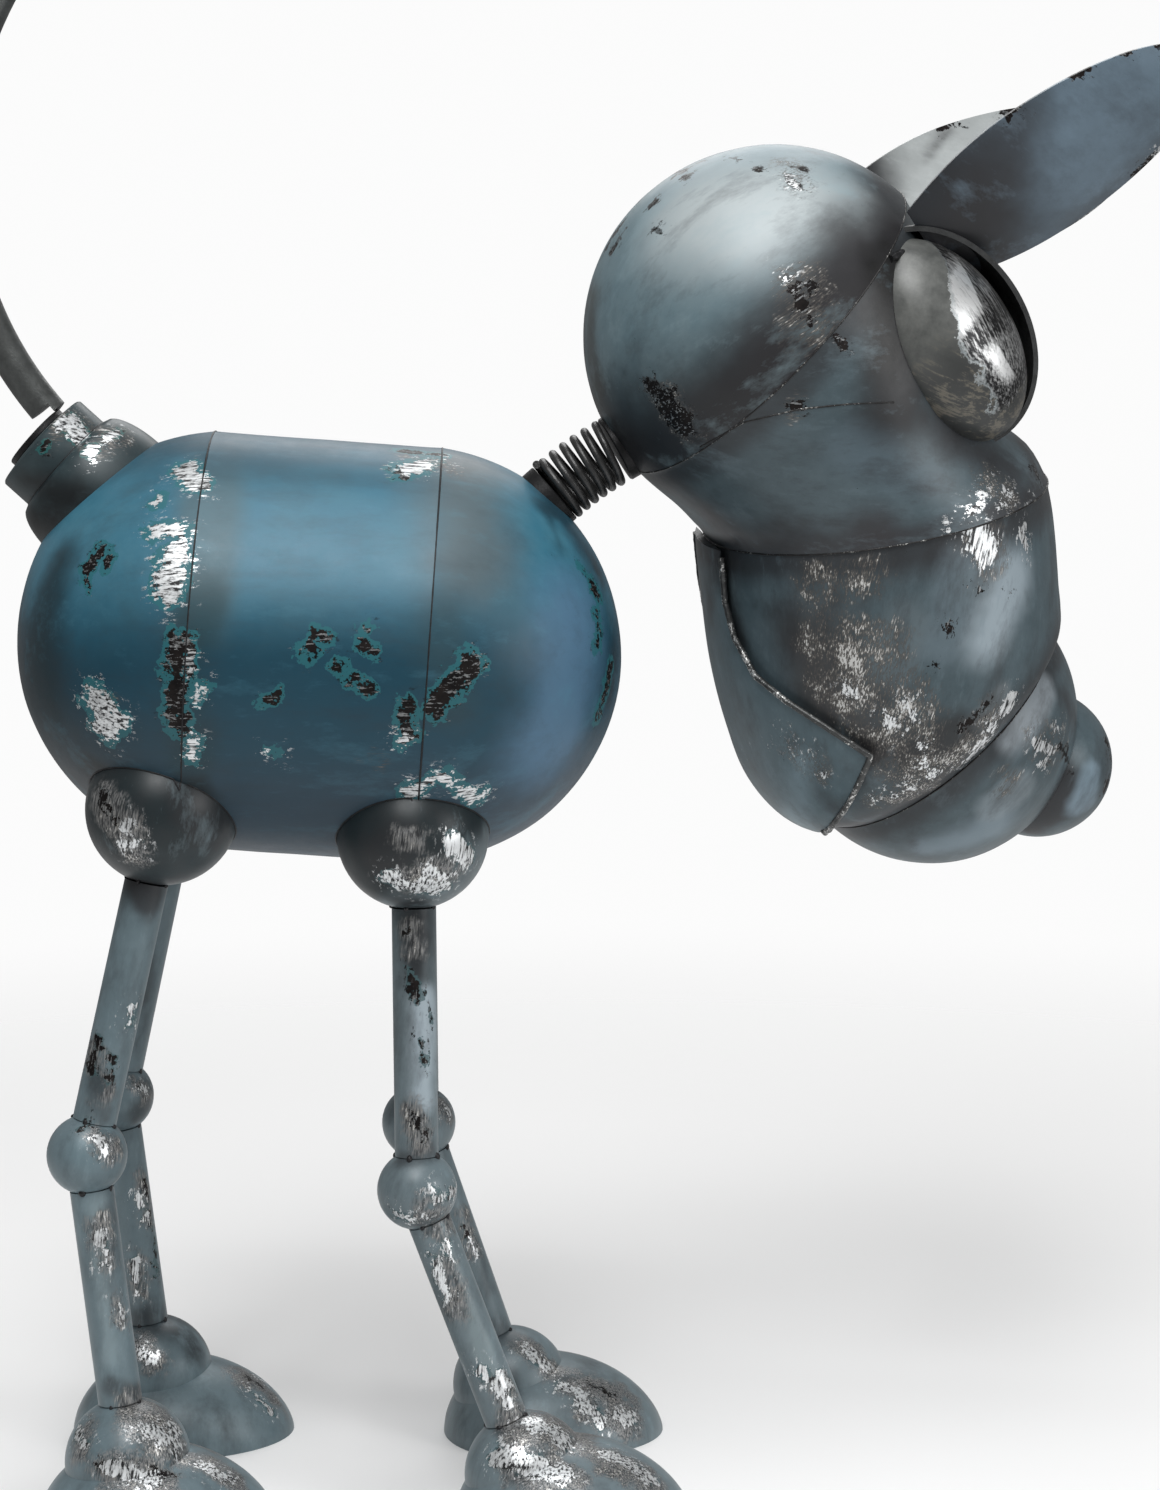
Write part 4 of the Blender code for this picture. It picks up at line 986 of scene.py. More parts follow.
rod_path = []
edge_points = []
for (x0, z0), (x1, z1) in zip(JAW_EDGE, JAW_EDGE[1:]):
    edge_points.extend((x0 + (x1 - x0) * k / 12, z0 + (z1 - z0) * k / 12) for k in range(12))
for side in (-1, 1):
    run = []
    for x, z in edge_points:
        half = side_at(x, z, JAW_THICKNESS + ROD_RISE)
        if half is not None:
            run.append(head_place @ Vector((x, side * half, z)))
    rod_path.extend(run if side < 0 else reversed(run))
jaw_rod = bead.grow(
    "jaw_rod", [(rod_path, False)], Radius=ROD_RADIUS, Unevenness=0.5, Pitch=0.0016, Sides=12, Metal=rod_metal
)
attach(jaw_rod, "head")


# Eyes: pressed egg shapes set slantwise against the brow, left as brushed steel on the outer half
# and greyed on the inner one. The bare steel carries painted highlights, and beyond a ridge line it
# is painted darker as painted shade. A thin sheet hood, black inside, stands open over each.

EYE_PLACE = Vector((0.08557, 0.06357, 0.0065))
EYE_SLANT = 36.8
EYE_OUTWARD = math.radians(32.0)
EYE_RADII = Vector((0.0464, 0.0661, 0.0404))
EYE_DENTS = 0.0004
HOOD_CLEARANCE = Vector((0.0075, 0.0015, 0.0075))
HOOD_LIFT = 0.0015
HOOD_WALL = 0.0030
HOOD_RIM_SIDE = 0.0640


def eye_turn(side):
    """Columns are the eye's width, length and depth directions. side is -1 right and +1 left."""
    length = in_plane(90.0 + EYE_SLANT)
    depth = in_plane(EYE_SLANT) * math.cos(EYE_OUTWARD) + Vector((0, side, 0)) * math.sin(EYE_OUTWARD)
    width = depth.cross(length)
    return Matrix((width, depth.cross(width), depth)).transposed()


def eye_metal(name, side, at_head):
    """Brushed steel with painted highlights, and a grey stain over the half towards the cheek behind a ragged
    edge.
    """
    recipe = Recipe(name)
    turn = head_place.to_3x3() @ eye_turn(side)
    width, length, depth = (turn.col[k].normalized() for k in range(3))
    offset = recipe.vector("SUBTRACT", recipe.place, tuple(at_head))
    across = recipe.dot(offset, width) * -side
    along = recipe.dot(offset, length)
    mottle = recipe.cloud(0.016, 6.0, 0.7)
    ragged = recipe.cloud(0.009, 6.0, 0.72)
    fine = recipe.cloud(0.0012, 4.0, 0.7)
    brushing = recipe.cloud(1.0, 3.0, 0.6, recipe.stretched((0.0, -1.03, 0.0), (34, 700, 700)))
    cross_brushing = recipe.cloud(1.0, 3.0, 0.6, recipe.stretched((0.0, -0.45, 0.0), (46, 620, 620)))
    from_edge = along - 0.005
    line = 0.0375 - from_edge * from_edge * (8.5 - from_edge * 120.0) + (ragged - 0.5) * 0.016
    bare = (line - across).rise(-0.0003, 0.0003) * (along + (ragged - 0.5) * 0.03).rise(0.046, 0.042)
    # A ridge line on the bare steel; beyond it the steel is painted darker, as painted shade.
    from_ridge = along - 0.012
    ridge = 0.0210 - from_ridge * from_ridge * 11.0
    beyond = (ridge - across).rise(0.0004, 0.0016)
    stain = recipe.mix((mottle - 0.34) * 2.4, (0.060, 0.063, 0.061), (0.145, 0.150, 0.142))
    low = (along + (mottle - 0.5) * 0.03).rise(-0.020, 0.010)
    stain = recipe.mix(low * 0.80, stain, (0.026, 0.028, 0.028))
    streaks = (mottle * 0.6 + cross_brushing * 0.4 - 0.50).rise(0.0, 0.10)
    stain = recipe.mix(low * streaks * 0.8, stain, (0.165, 0.150, 0.120))
    # Painted highlights on the bare steel: a bright band near its top and one along the ridge line lower
    # down.
    upper = (along + 0.024).size().rise(0.020, 0.008)
    lower = (along - 0.021).size().rise(0.018, 0.006)
    lower = lower * (across - ridge).rise(0.011, 0.004)
    shining = (upper.most(lower) + 0.06) * (1.0 - beyond * 0.75)
    shining = shining + (brushing - 0.5) * 1.9 + (cross_brushing - 0.5) * 1.2
    steel = recipe.mix(shining, (0.030, 0.030, 0.031), (0.88, 0.89, 0.89))
    rim = (line - across).rise(0.0030, 0.0004) * bare
    steel = recipe.mix(rim * 0.7, steel, (0.42, 0.46, 0.47))
    gloss = 0.40 + (mottle - 0.5) * 0.2 + (fine - 0.5) * 0.15
    height = brushing * bare * 0.3 + mottle * 0.2 - bare * 0.4
    return recipe.finish(recipe.mix(bare, stain, steel), bare * 0.75 + 0.20, gloss, height, 0.0004)


hood_black = dark_steel("hood_metal", (0.060, 0.062, 0.063), (0.34, 0.35, 0.35), 0.03, 0.45)
for side, word in ((-1, "right"), (1, "left")):
    at = Vector((EYE_PLACE.x, side * EYE_PLACE.y, EYE_PLACE.z))
    turn = head_place.to_3x3() @ eye_turn(side)
    eye = ringed(
        "eye_shell_" + word, ball_rings(head_place @ at, EYE_RADII, turn, 96, 56),
        eye_metal("eye_metal_" + word, side, head_place @ at), EYE_DENTS,
    )
    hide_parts("eye_" + word)
    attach(eye, "head")
    hood_at = head_place @ (at + in_plane(90.0 + EYE_SLANT) * HOOD_LIFT)
    inside = EYE_RADII + HOOD_CLEARANCE
    outside = inside + Vector((HOOD_WALL,) * 3)
    hood = ringed("hood_" + word, ball_rings(hood_at, outside, turn, 96, 56), hood_black)
    hollow = ringed("hood_hollow", ball_rings(hood_at, inside, turn, 96, 56), hood_black)
    rims = sorted((side * HOOD_RIM_SIDE, side * (HOOD_RIM_SIDE + 0.14)))
    box = [
        [head_place @ Vector((at.x + x, rims[k], at.z + z)) for x, z in ((-1, -1), (1, -1), (1, 1), (-1, 1))]
        for k in (0, 1)
    ]
    rim_cut = ringed("hood_rim", box, hood_black)
    hood = solid_of(hood, ("DIFFERENCE", hollow), ("DIFFERENCE", rim_cut))
    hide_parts("eyelid_" + word)
    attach(hood, "head")


# Ears: two petals cut from sheet, dished across and welded to the brow by their roots, where they
# are darkest. Slate-blue paint, chipped along the edges.

EAR_PLACES = {"right": Vector((0.09032, -0.05251, 0.06881)), "left": Vector((0.0781, 0.05256, 0.0616))}
EAR_RISES = {"right": 35.5, "left": 18.0}
EAR_LEANS = {"right": 24.0, "left": 28.0}
EAR_SPLAY = math.radians(6.0)
EAR_LENGTH = 0.172
EAR_ROOT = 0.016
EAR_HALF_WIDTH = 0.0455
EAR_ROOT_SHARE = 0.62
EAR_WIDEST = 0.41
EAR_TIP_HALF_WIDTH = 0.0035
EAR_CUP = 0.0085
EAR_WALL = 0.0030
EAR_ROWS = 44
EAR_COLUMNS = 22
EAR_TINTS = {"right": (0.105, 0.150, 0.190), "left": (0.330, 0.350, 0.350)}
EAR_ROOT_SHADES = {"right": (0.074, 0.036), "left": (0.040, 0.012)}


def ear_frame(side, word):
    forward = in_plane(EAR_RISES[word]) * math.cos(EAR_SPLAY) + Vector((0, side * math.sin(EAR_SPLAY), 0))
    lean = math.radians(EAR_LEANS[word])
    upward = in_plane(EAR_RISES[word] + 90.0) * math.cos(lean) + Vector((0, side * math.sin(lean), 0))
    upward = (upward - forward * upward.dot(forward)).normalized()
    return forward, upward, forward.cross(upward) * -side


def ear_stations():
    """Distance along the ear and half its width there, from root to tip, closer near the tip."""
    stations = []
    for i in range(EAR_ROWS + 1):
        share = 1 - (1 - i / EAR_ROWS) ** 1.6
        if share < EAR_WIDEST:
            half = EAR_HALF_WIDTH * (1 - (1 - EAR_ROOT_SHARE) * ((EAR_WIDEST - share) / EAR_WIDEST) ** 2)
        else:
            half = EAR_HALF_WIDTH * math.sqrt(max(0.0, 1 - ((share - EAR_WIDEST) / (1 - EAR_WIDEST)) ** 2))
        stations.append(((EAR_LENGTH + EAR_ROOT) * share - EAR_ROOT, max(half, EAR_TIP_HALF_WIDTH)))
    return stations


for side, word in ((-1, "right"), (1, "left")):
    forward, upward, facing = ear_frame(side, word)
    bm = bmesh.new()
    grid = []
    for along, half in ear_stations():
        row = []
        for j in range(EAR_COLUMNS + 1):
            across = math.sin(math.pi / 2 * (2 * j / EAR_COLUMNS - 1))
            bow = EAR_CUP * (1 - across**2) * half / EAR_HALF_WIDTH
            local = EAR_PLACES[word] + forward * along + upward * (half * across) + facing * bow
            row.append(bm.verts.new(head_place @ local))
        grid.append(row)
    for lower, upper in zip(grid, grid[1:]):
        for j in range(EAR_COLUMNS):
            bm.faces.new((lower[j], lower[j + 1], upper[j + 1], upper[j]))
    ear = finish_mesh("ear_petal_" + word, bm, blank)
    sheet = ear.modifiers.new("Sheet", "SOLIDIFY")
    sheet.thickness = EAR_WALL * 0.96
    sheet.offset = 0.0
    rounded = ear.modifiers.new("Rounded", "BEVEL")
    rounded.width = 0.0009
    rounded.segments = 2
    rounded.limit_method = "ANGLE"
    rounded.angle_limit = math.radians(50)
    ear = solid_of(ear)
    root = head_place @ EAR_PLACES[word]
    low_edge, high_edge = [], []
    for along, half in ear_stations():
        middle = EAR_PLACES[word] + forward * along
        low_edge.append(head_place @ (middle - upward * half))
        high_edge.append(head_place @ (middle + upward * half))
    tint = EAR_TINTS[word]
    shade_reach, soot_reach = EAR_ROOT_SHADES[word]
    ear_look = dict(
        blue=tint,
        pale=tuple(c * 1.3 for c in tint),
        fold=((0, 50, 0), (0, 1, 0)),
        shades=[(root, head_place.to_3x3() @ forward, shade_reach, 0.010, (0.012, 0.012, 0.014), 0.94)],
        sprays_and_painted_light=[
            (low_edge[14], low_edge[26], 0.022, (0.05, 0.055, 0.06), 0.6),
            (root, root + (high_edge[14] - root) * 0.9, soot_reach, DARK_PAINT_AND_SHADE, 0.7),
        ],
        bright=[(low_edge[k], low_edge[k + 2], 0.0042) for k in (25, 30, 35)],
        dark=[(low_edge[k], low_edge[k + 3], 0.0055) for k in (22, 28, 33, 37)]
        + [(high_edge[k], high_edge[k + 2], 0.0020) for k in (12, 20, 27, 33)],
        strokes=(0.0, -math.radians(EAR_RISES[word]), 0.0), halo=0.0, specks=0.018, ragged=0.004,
    )
    painted_steel(ear, "ear_paint_" + word, **ear_look)
    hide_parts("ear_" + word)
    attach(ear, "head")


# Neck: a close-wound coil of spring steel between a black seat welded to the front dome and a black
# ring on the skull. The lowest turn ends in a cut stub.

NECK_FOOT = ROOT + Vector((0.13984, 0, 0.59653))
NECK_AIM_LOW = 41.4
NECK_AIM_HIGH = 29.5
SEAT_RADIUS = 0.0200
SEAT_HEIGHT = 0.0036
SEAT_DEPTH = 0.006
SKULL_SEAT_RADIUS = 0.0205
SKULL_SEAT_HEIGHT = 0.0090
COIL_RADIUS = 0.0184
WIRE_RADIUS = 0.0024
COIL_LENGTH = 0.0382
COIL_TURNS = 5.5
POINTS_PER_TURN = 44
STUB_LENGTH = 0.006
ROUNDED_EDGE = 0.0006

spring_steel = dark_steel("spring_steel", (0.060, 0.060, 0.060), (0.40, 0.40, 0.39), -0.01, 0.34)
black_steel = dark_steel("black_steel", (0.016, 0.016, 0.017), (0.20, 0.20, 0.20), -0.04, 0.42)


def swept(name, path, radius, sides, material):
    """A round bar along a path, with square ends."""
    rings = []
    side = Vector((0, 1, 0))
    for i, point in enumerate(path):
        heading = (path[min(i + 1, len(path) - 1)] - path[max(i - 1, 0)]).normalized()
        side = (side - heading * side.dot(heading)).normalized()
        other = heading.cross(side)
        ring = []
        for k in range(sides):
            angle = math.tau * k / sides
            ring.append(point + (side * math.cos(angle) + other * math.sin(angle)) * radius)
        rings.append(ring)
    return ringed(name, rings, material)


def neck_middle(share):
    """A point on the coil's bent middle line and its heading there."""
    point = NECK_FOOT + in_plane(NECK_AIM_LOW) * (SEAT_HEIGHT + SEAM_GAP + WIRE_RADIUS)
    steps = 40
    for i in range(steps):
        part = min(max(share * steps - i, 0.0), 1.0)
        heading = NECK_AIM_LOW + (NECK_AIM_HIGH - NECK_AIM_LOW) * (i + 0.5) / steps
        point = point + in_plane(heading) * (COIL_LENGTH / steps * part)
    return point, NECK_AIM_LOW + (NECK_AIM_HIGH - NECK_AIM_LOW) * share


def coil_point(share, angle):
    """A point of the coil's wire, by how far along the neck it is and its angle round it."""
    middle, heading = neck_middle(share)
    outward = in_plane(heading + 90.0) * math.cos(angle) + Vector((0, math.sin(angle), 0))
    return middle + outward * COIL_RADIUS


coil_steps = int(COIL_TURNS * POINTS_PER_TURN)
coil_shares = [i / coil_steps for i in range(coil_steps + 1)]
coil = [coil_point(share, math.pi + math.tau * COIL_TURNS * share) for share in coil_shares]
first_turn = [coil_point(0.0, math.tau * i / POINTS_PER_TURN) for i in range(POINTS_PER_TURN // 2)]
stub_end = first_turn[0] + Vector((0, -STUB_LENGTH, 0)) + in_plane(NECK_AIM_LOW + 90.0) * 0.0015
spring = swept("spring_coil", [stub_end, *first_turn, *coil], WIRE_RADIUS, 14, spring_steel)
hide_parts("neck_spring")
neck_end, _ = neck_middle(1.0)
tuple(coil[0] + Vector((0.004, 0, 0.002)))
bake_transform(spring)


def plate_profile(radius, low, high):
    """A flat round plate's profile, with its upper edge taken off."""
    inner = radius - ROUNDED_EDGE
    return [(0.0, low), (radius, low), (radius, high - ROUNDED_EDGE), (inner, high), (0.0, high)]


seat_profile = plate_profile(SEAT_RADIUS, -SEAT_DEPTH, SEAT_HEIGHT)
neck_seat = ringed("neck_seat", lathe_rings(seat_profile, stand(NECK_FOOT, NECK_AIM_LOW), 48), black_steel)
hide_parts("neck_base")
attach(neck_seat, "body")
neck_top = neck_end + in_plane(NECK_AIM_HIGH) * (WIRE_RADIUS + SEAM_GAP)
ring_profile = [
    (0.0, 0.0), (SKULL_SEAT_RADIUS - 0.0008, 0.0), (SKULL_SEAT_RADIUS, 0.0008),
    (SKULL_SEAT_RADIUS, SKULL_SEAT_HEIGHT), (0.0, SKULL_SEAT_HEIGHT),
]
ring_turn = neck_turn @ stand(neck_top - NECK_PIVOT, NECK_AIM_HIGH)
neck_ring = ringed("neck_ring", lathe_rings(ring_profile, ring_turn, 48), black_steel)
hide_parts("neck_cap")
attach(neck_ring, "head")


# Tail: a bent tube on a tongue that stands on a disc. Under the disc a short collar and a spun bell
# join it to the rump. The flange is painted like the body and rubbed bright on its upper side, and
# painted shade darkens the bell's underside.

TAIL_SEAM = ROOT + Vector((-0.05098, 0, 0.51074)) + in_plane(131.92) * (0.12503 + 0.01644)
BELL_AIM = 137.5
BELL_FOOT_RADIUS = 0.0458
BELL_TOP_RADIUS = 0.0344
BELL_DEPTH = 0.045
BELL_SWELL = 0.032
COLLAR_RADIUS = 0.0328
COLLAR_DEPTH = 0.0193
COLLAR_CROWN = 0.0017
DISC_RADIUS = 0.0209
DISC_THICKNESS = 0.0034
TAIL_TUBE_RADIUS = 0.0104
TAIL_FOOT_RISE = 0.0061
TAIL_FOOT_OFFSET = 0.0164
TAIL_BEND_RADIUS = 0.2135
TAIL_FOOT_ANGLE = 219.6
TAIL_TIP_ANGLE = 125.0
TAIL_TONGUE = 0.007

flange_turn = stand(TAIL_SEAM, BELL_AIM)
bell_profile = [(0.0, 0.0)]
for i in range(25):
    swell = math.sqrt(1 - (1 - i / 24) ** 2)
    radius = BELL_TOP_RADIUS + (BELL_FOOT_RADIUS - BELL_TOP_RADIUS) * swell
    bell_profile.append((radius, -BELL_SWELL * i / 24))
bell_profile.extend([(BELL_FOOT_RADIUS, -BELL_DEPTH), (0.0, -BELL_DEPTH)])
bell = ringed("bell", lathe_rings(bell_profile, flange_turn, 80), blank, 0.0003)
crown = COLLAR_DEPTH + COLLAR_CROWN
collar_profile = [
    (0.0, SEAM_GAP), (COLLAR_RADIUS, SEAM_GAP), (COLLAR_RADIUS, COLLAR_DEPTH - 0.001),
    (COLLAR_RADIUS - 0.001, COLLAR_DEPTH), (DISC_RADIUS, crown), (0.0, crown),
]
collar = ringed("collar", lathe_rings(collar_profile, flange_turn, 80), blank)
disc_low = crown + SEAM_GAP
disc_high = disc_low + DISC_THICKNESS
disc_rings = lathe_rings(plate_profile(DISC_RADIUS, disc_low, disc_high), flange_turn, 64)
disc = ringed("disc", disc_rings, black_steel)
flange_surface = surface_of(bell, collar)
flange_look = dict(
    blue=(0.012, 0.022, 0.026),
    pale=(0.034, 0.054, 0.060),
    fold=(ROOT, (0, 1, 0)),
    rubbed=((60, 425, 85, 430, 16), (95, 445, 120, 435, 12)),
    sprays_and_painted_light=(
        # Painted shade on the bell's underside (this line and the next).
        (35, 525, 70, 500, 40, (0.004, 0.005, 0.006), 0.97),
        (30, 480, 90, 500, 28, (0.006, 0.008, 0.009), 0.9),
    ),
    bright=(
        (68, 425, 80, 436, 9), (60, 428, 74, 418, 5), (88, 454, 96, 446, 5), (110, 436, 118, 432, 4),
    ),
    dark=((40, 450, 48, 442, 2), (118, 428, 122, 430, 1)),
    undercoat=(0.016, 0.100, 0.098), halo=0.0012, specks=0.012, ragged=0.004, marks_on=flange_surface,
)
for piece, node in ((bell, "tail_bell"), (collar, "tail_ring")):
    painted_steel(piece, node + "_paint", **flange_look)
    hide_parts(node)
    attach(piece, "body")
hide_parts("tail_cap")
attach(disc, "body")

tail_steel = dark_steel("tail_paint", (0.100, 0.106, 0.104), (0.20, 0.21, 0.205), -0.03, 0.34)
flange_out = in_plane(BELL_AIM)
tail_foot = TAIL_SEAM + flange_out * (disc_high + TAIL_FOOT_RISE)
tail_foot = tail_foot + in_plane(BELL_AIM - 90.0) * TAIL_FOOT_OFFSET
tail_bend = tail_foot - in_plane(TAIL_FOOT_ANGLE) * TAIL_BEND_RADIUS
tail_start = TAIL_FOOT_ANGLE + 5.0
tail_path = []
for i in range(73):
    angle = tail_start + (TAIL_TIP_ANGLE - tail_start) * i / 72
    tail_path.append(tail_bend + in_plane(angle) * TAIL_BEND_RADIUS)
tail = swept("tail_tube", tail_path, TAIL_TUBE_RADIUS, 36, tail_steel)


def block(name, low, high, matrix):
    """A plain block between two corners, put in place."""
    ends = []
    for z in (low[2], high[2]):
        corners = ((low[0], low[1]), (high[0], low[1]), (high[0], high[1]), (low[0], high[1]))
        ends.append([matrix @ Vector((x, y, z)) for x, y in corners])
    return ringed(name, ends, blank)


wide = 3 * TAIL_TUBE_RADIUS
disc_face = stand(TAIL_SEAM + flange_out * (disc_high + SEAM_GAP), BELL_AIM)
tongue_side = stand(tail_foot, TAIL_FOOT_ANGLE - 90.0)
tail = solid_of(
    tail,
    ("DIFFERENCE", block("trim", (-wide,) * 3, (wide, wide, 0.0), disc_face)),
    ("DIFFERENCE", block("notch", (-wide,) * 3, (TAIL_TUBE_RADIUS - TAIL_TONGUE, wide, 0.0), tongue_side)),
)
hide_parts("tail")
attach(tail, "body")


# Legs: a half-sunk ball for each hip, tubes with square ends between the balls of hip, knee and
# ankle, and pressed paws. Slate-blue paint, brushed through to steel on ankles and paws. Painted
# shade darkens the hips and the tops of the near upper tubes under the body; painted light lifts
# the hips' lower front sides, most on the front legs, and painted highlights run down the near tubes.

FRONT_HIP = (0.05748, 0.062, 0.40353)
REAR_HIP = (-0.08651, 0.062, 0.41851)
LEG_PLACES = {
    "front_right": (FRONT_HIP, (0.05898, 0.075, 0.196), (0.12258, 0.082, 0.027), (0.13798, 0.084)),
    "front_left": (FRONT_HIP, (0.05898, 0.075, 0.201), (0.11648, 0.073, 0.031), (0.13198, 0.075)),
    "rear_right": (REAR_HIP, (-0.13151, 0.075, 0.219), (-0.11001, 0.082, 0.039), (-0.10501, 0.084)),
    "rear_left": (REAR_HIP, (-0.13051, 0.075, 0.220), (-0.11001, 0.082, 0.039), (-0.10401, 0.084)),
}
HIP_RADIUS = 0.0445
TUBE_RADIUS = 0.0127
KNEE_RADIUS = 0.0234
ANKLE_RADIUS = 0.0368
PAW_HEEL = 0.058
PAW_TOE = 0.082
PAW_HALF_WIDTH = 0.060
PAW_HEIGHT = 0.049
PAW_TOE_SLOPE = 1.25
END_GAP = 0.0006

leg_marks = {
    "front_right": dict(
        sprays_and_painted_light=(
            # The first stroke on this line is painted shade at the top of the upper tube, under the hip.
            (415, 905, 415, 975, 32, (0.010, 0.011, 0.013), 0.92), (405, 1160, 430, 1150, 16, DARK_PAINT_AND_SHADE, 0.6),
            # Painted highlight down the upper tube.
            (426, 1000, 426, 1100, 26, (0.32, 0.38, 0.42), 0.85),
            # On this line: a lighter streak down the lower tube, airbrushing with a painted highlight, then
            # painted shade on the hip under the body.
            (450, 1250, 490, 1380, 12, (0.20, 0.25, 0.26), 0.5), (380, 860, 400, 845, 30, DARK_PAINT_AND_SHADE, 0.5),
            (420, 1225, 445, 1240, 14, DARK_PAINT_AND_SHADE, 0.6), (500, 1430, 520, 1425, 12, DARK_PAINT_AND_SHADE, 0.6),
            (515, 1430, 525, 1470, 20, DARK_PAINT_AND_SHADE, 0.7),
        ),
        bright=(
            (388, 876, 400, 884, 8), (420, 888, 446, 886, 8), (456, 846, 466, 856, 10),
            (430, 872, 450, 876, 4), (398, 1215, 412, 1220, 4), (435, 1190, 425, 1222, 3),
            (440, 1200, 455, 1190, 4), (448, 1245, 452, 1260, 3), (500, 1375, 508, 1400, 6),
            (480, 1370, 500, 1385, 4), (435, 1262, 448, 1300, 4), (525, 1420, 565, 1440, 10),
            (500, 1455, 560, 1475, 12), (610, 1455, 650, 1480, 9),
        ),
        dark=(
            (408, 930, 412, 950, 2), (410, 970, 418, 1000, 3), (430, 1010, 434, 1020, 2),
            (420, 1040, 424, 1060, 2), (415, 1115, 425, 1135, 3), (520, 1465, 560, 1480, 5),
        ),
        rubbed=(
            (402, 838, 420, 840, 6), (410, 880, 450, 870, 14), (415, 1115, 420, 1140, 12),
            (430, 1210, 440, 1220, 14), (445, 1270, 455, 1310, 10), (500, 1385, 510, 1410, 10),
            (530, 1425, 575, 1440, 26), (520, 1460, 560, 1480, 24), (610, 1460, 650, 1480, 20),
            (410, 930, 415, 950, 8),
        ),
    ),
    "front_left": dict(
        sprays_and_painted_light=(
            (500, 1330, 520, 1340, 22, DARK_PAINT_AND_SHADE, 0.5), (400, 1100, 420, 1110, 30, DARK_PAINT_AND_SHADE, 0.5),
            (560, 1375, 580, 1385, 22, DARK_PAINT_AND_SHADE, 0.6), (500, 1380, 505, 1410, 20, DARK_PAINT_AND_SHADE, 0.6),
        ),
        bright=(
            (525, 1350, 545, 1365, 5), (580, 1400, 600, 1420, 8), (610, 1415, 630, 1420, 6),
            (445, 1110, 450, 1118, 3), (470, 1240, 474, 1250, 2), (560, 1385, 585, 1395, 5),
        ),
        dark=((590, 1385, 610, 1395, 4), (463, 1225, 470, 1240, 2)),
        rubbed=(
            (525, 1345, 545, 1365, 12), (575, 1385, 625, 1400, 18), (590, 1410, 630, 1425, 16),
            (440, 1105, 450, 1118, 8), (465, 1215, 474, 1250, 6), (560, 1375, 590, 1380, 10),
        ),
    ),
    "rear_right": dict(
        sprays_and_painted_light=(
            # The first stroke on this line is painted shade at the top of the upper tube, under the hip.
            (140, 885, 150, 900, 20, DARK_PAINT_AND_SHADE, 0.8), (95, 1080, 105, 1118, 16, DARK_PAINT_AND_SHADE, 0.5),
            # A lighter streak down the lower tube: airbrushing with a painted highlight.
            (95, 1210, 110, 1360, 14, (0.21, 0.27, 0.29), 0.6),
            # The second stroke on this line is painted shade on the hip under the body.
            (78, 1150, 90, 1160, 16, (0.13, 0.19, 0.215), 0.5), (180, 790, 215, 830, 22, DARK_PAINT_AND_SHADE, 0.5),
            (110, 1385, 140, 1395, 14, DARK_PAINT_AND_SHADE, 0.6),
        ),
        bright=(
            (122, 845, 135, 842, 6), (124, 828, 128, 820, 3), (98, 1140, 105, 1150, 4),
            (100, 1235, 104, 1262, 3), (120, 1305, 124, 1318, 2), (150, 1430, 175, 1445, 10),
            (165, 1400, 175, 1430, 6), (85, 1445, 78, 1425, 5), (110, 1470, 150, 1480, 8),
            (200, 1465, 230, 1480, 8), (132, 1008, 128, 1025, 3),
        ),
        dark=(
            (105, 800, 115, 820, 6), (112, 812, 118, 822, 4), (98, 1040, 92, 1070, 4),
            (110, 1060, 113, 1080, 2), (103, 1240, 106, 1255, 2), (100, 1465, 170, 1475, 4),
            (80, 1130, 90, 1125, 2),
        ),
        rubbed=(
            (100, 800, 118, 820, 16), (125, 825, 132, 850, 14), (92, 1050, 105, 1090, 9),
            (98, 1135, 112, 1150, 10), (100, 1225, 106, 1260, 8), (145, 1415, 170, 1440, 26),
            (85, 1430, 80, 1450, 12), (110, 1470, 160, 1480, 18), (200, 1460, 235, 1480, 16),
            (118, 1305, 124, 1320, 5),
        ),
    ),
    "rear_left": dict(
        sprays_and_painted_light=(
            (150, 1325, 195, 1345, 30, (0.016, 0.016, 0.018), 0.75), (150, 1090, 140, 1110, 16, DARK_PAINT_AND_SHADE, 0.6),
            (150, 900, 145, 1060, 14, DARK_PAINT_AND_SHADE, 0.5), (215, 1425, 240, 1420, 30, (0.19, 0.24, 0.26), 0.6),
        ),
        bright=(
            (140, 1350, 152, 1358, 5), (141, 1088, 148, 1092, 4), (138, 1195, 150, 1220, 2),
            (250, 1390, 270, 1410, 3), (135, 1260, 137, 1290, 2),
        ),
        dark=((250, 1378, 285, 1405, 4), (145, 1180, 152, 1230, 2), (155, 1240, 157, 1270, 2)),
        rubbed=(
            (140, 1345, 155, 1360, 12), (240, 1375, 280, 1400, 16), (140, 1085, 148, 1095, 8),
            (142, 1180, 152, 1220, 7), (137, 1255, 137, 1290, 6),
        ),
    ),
}

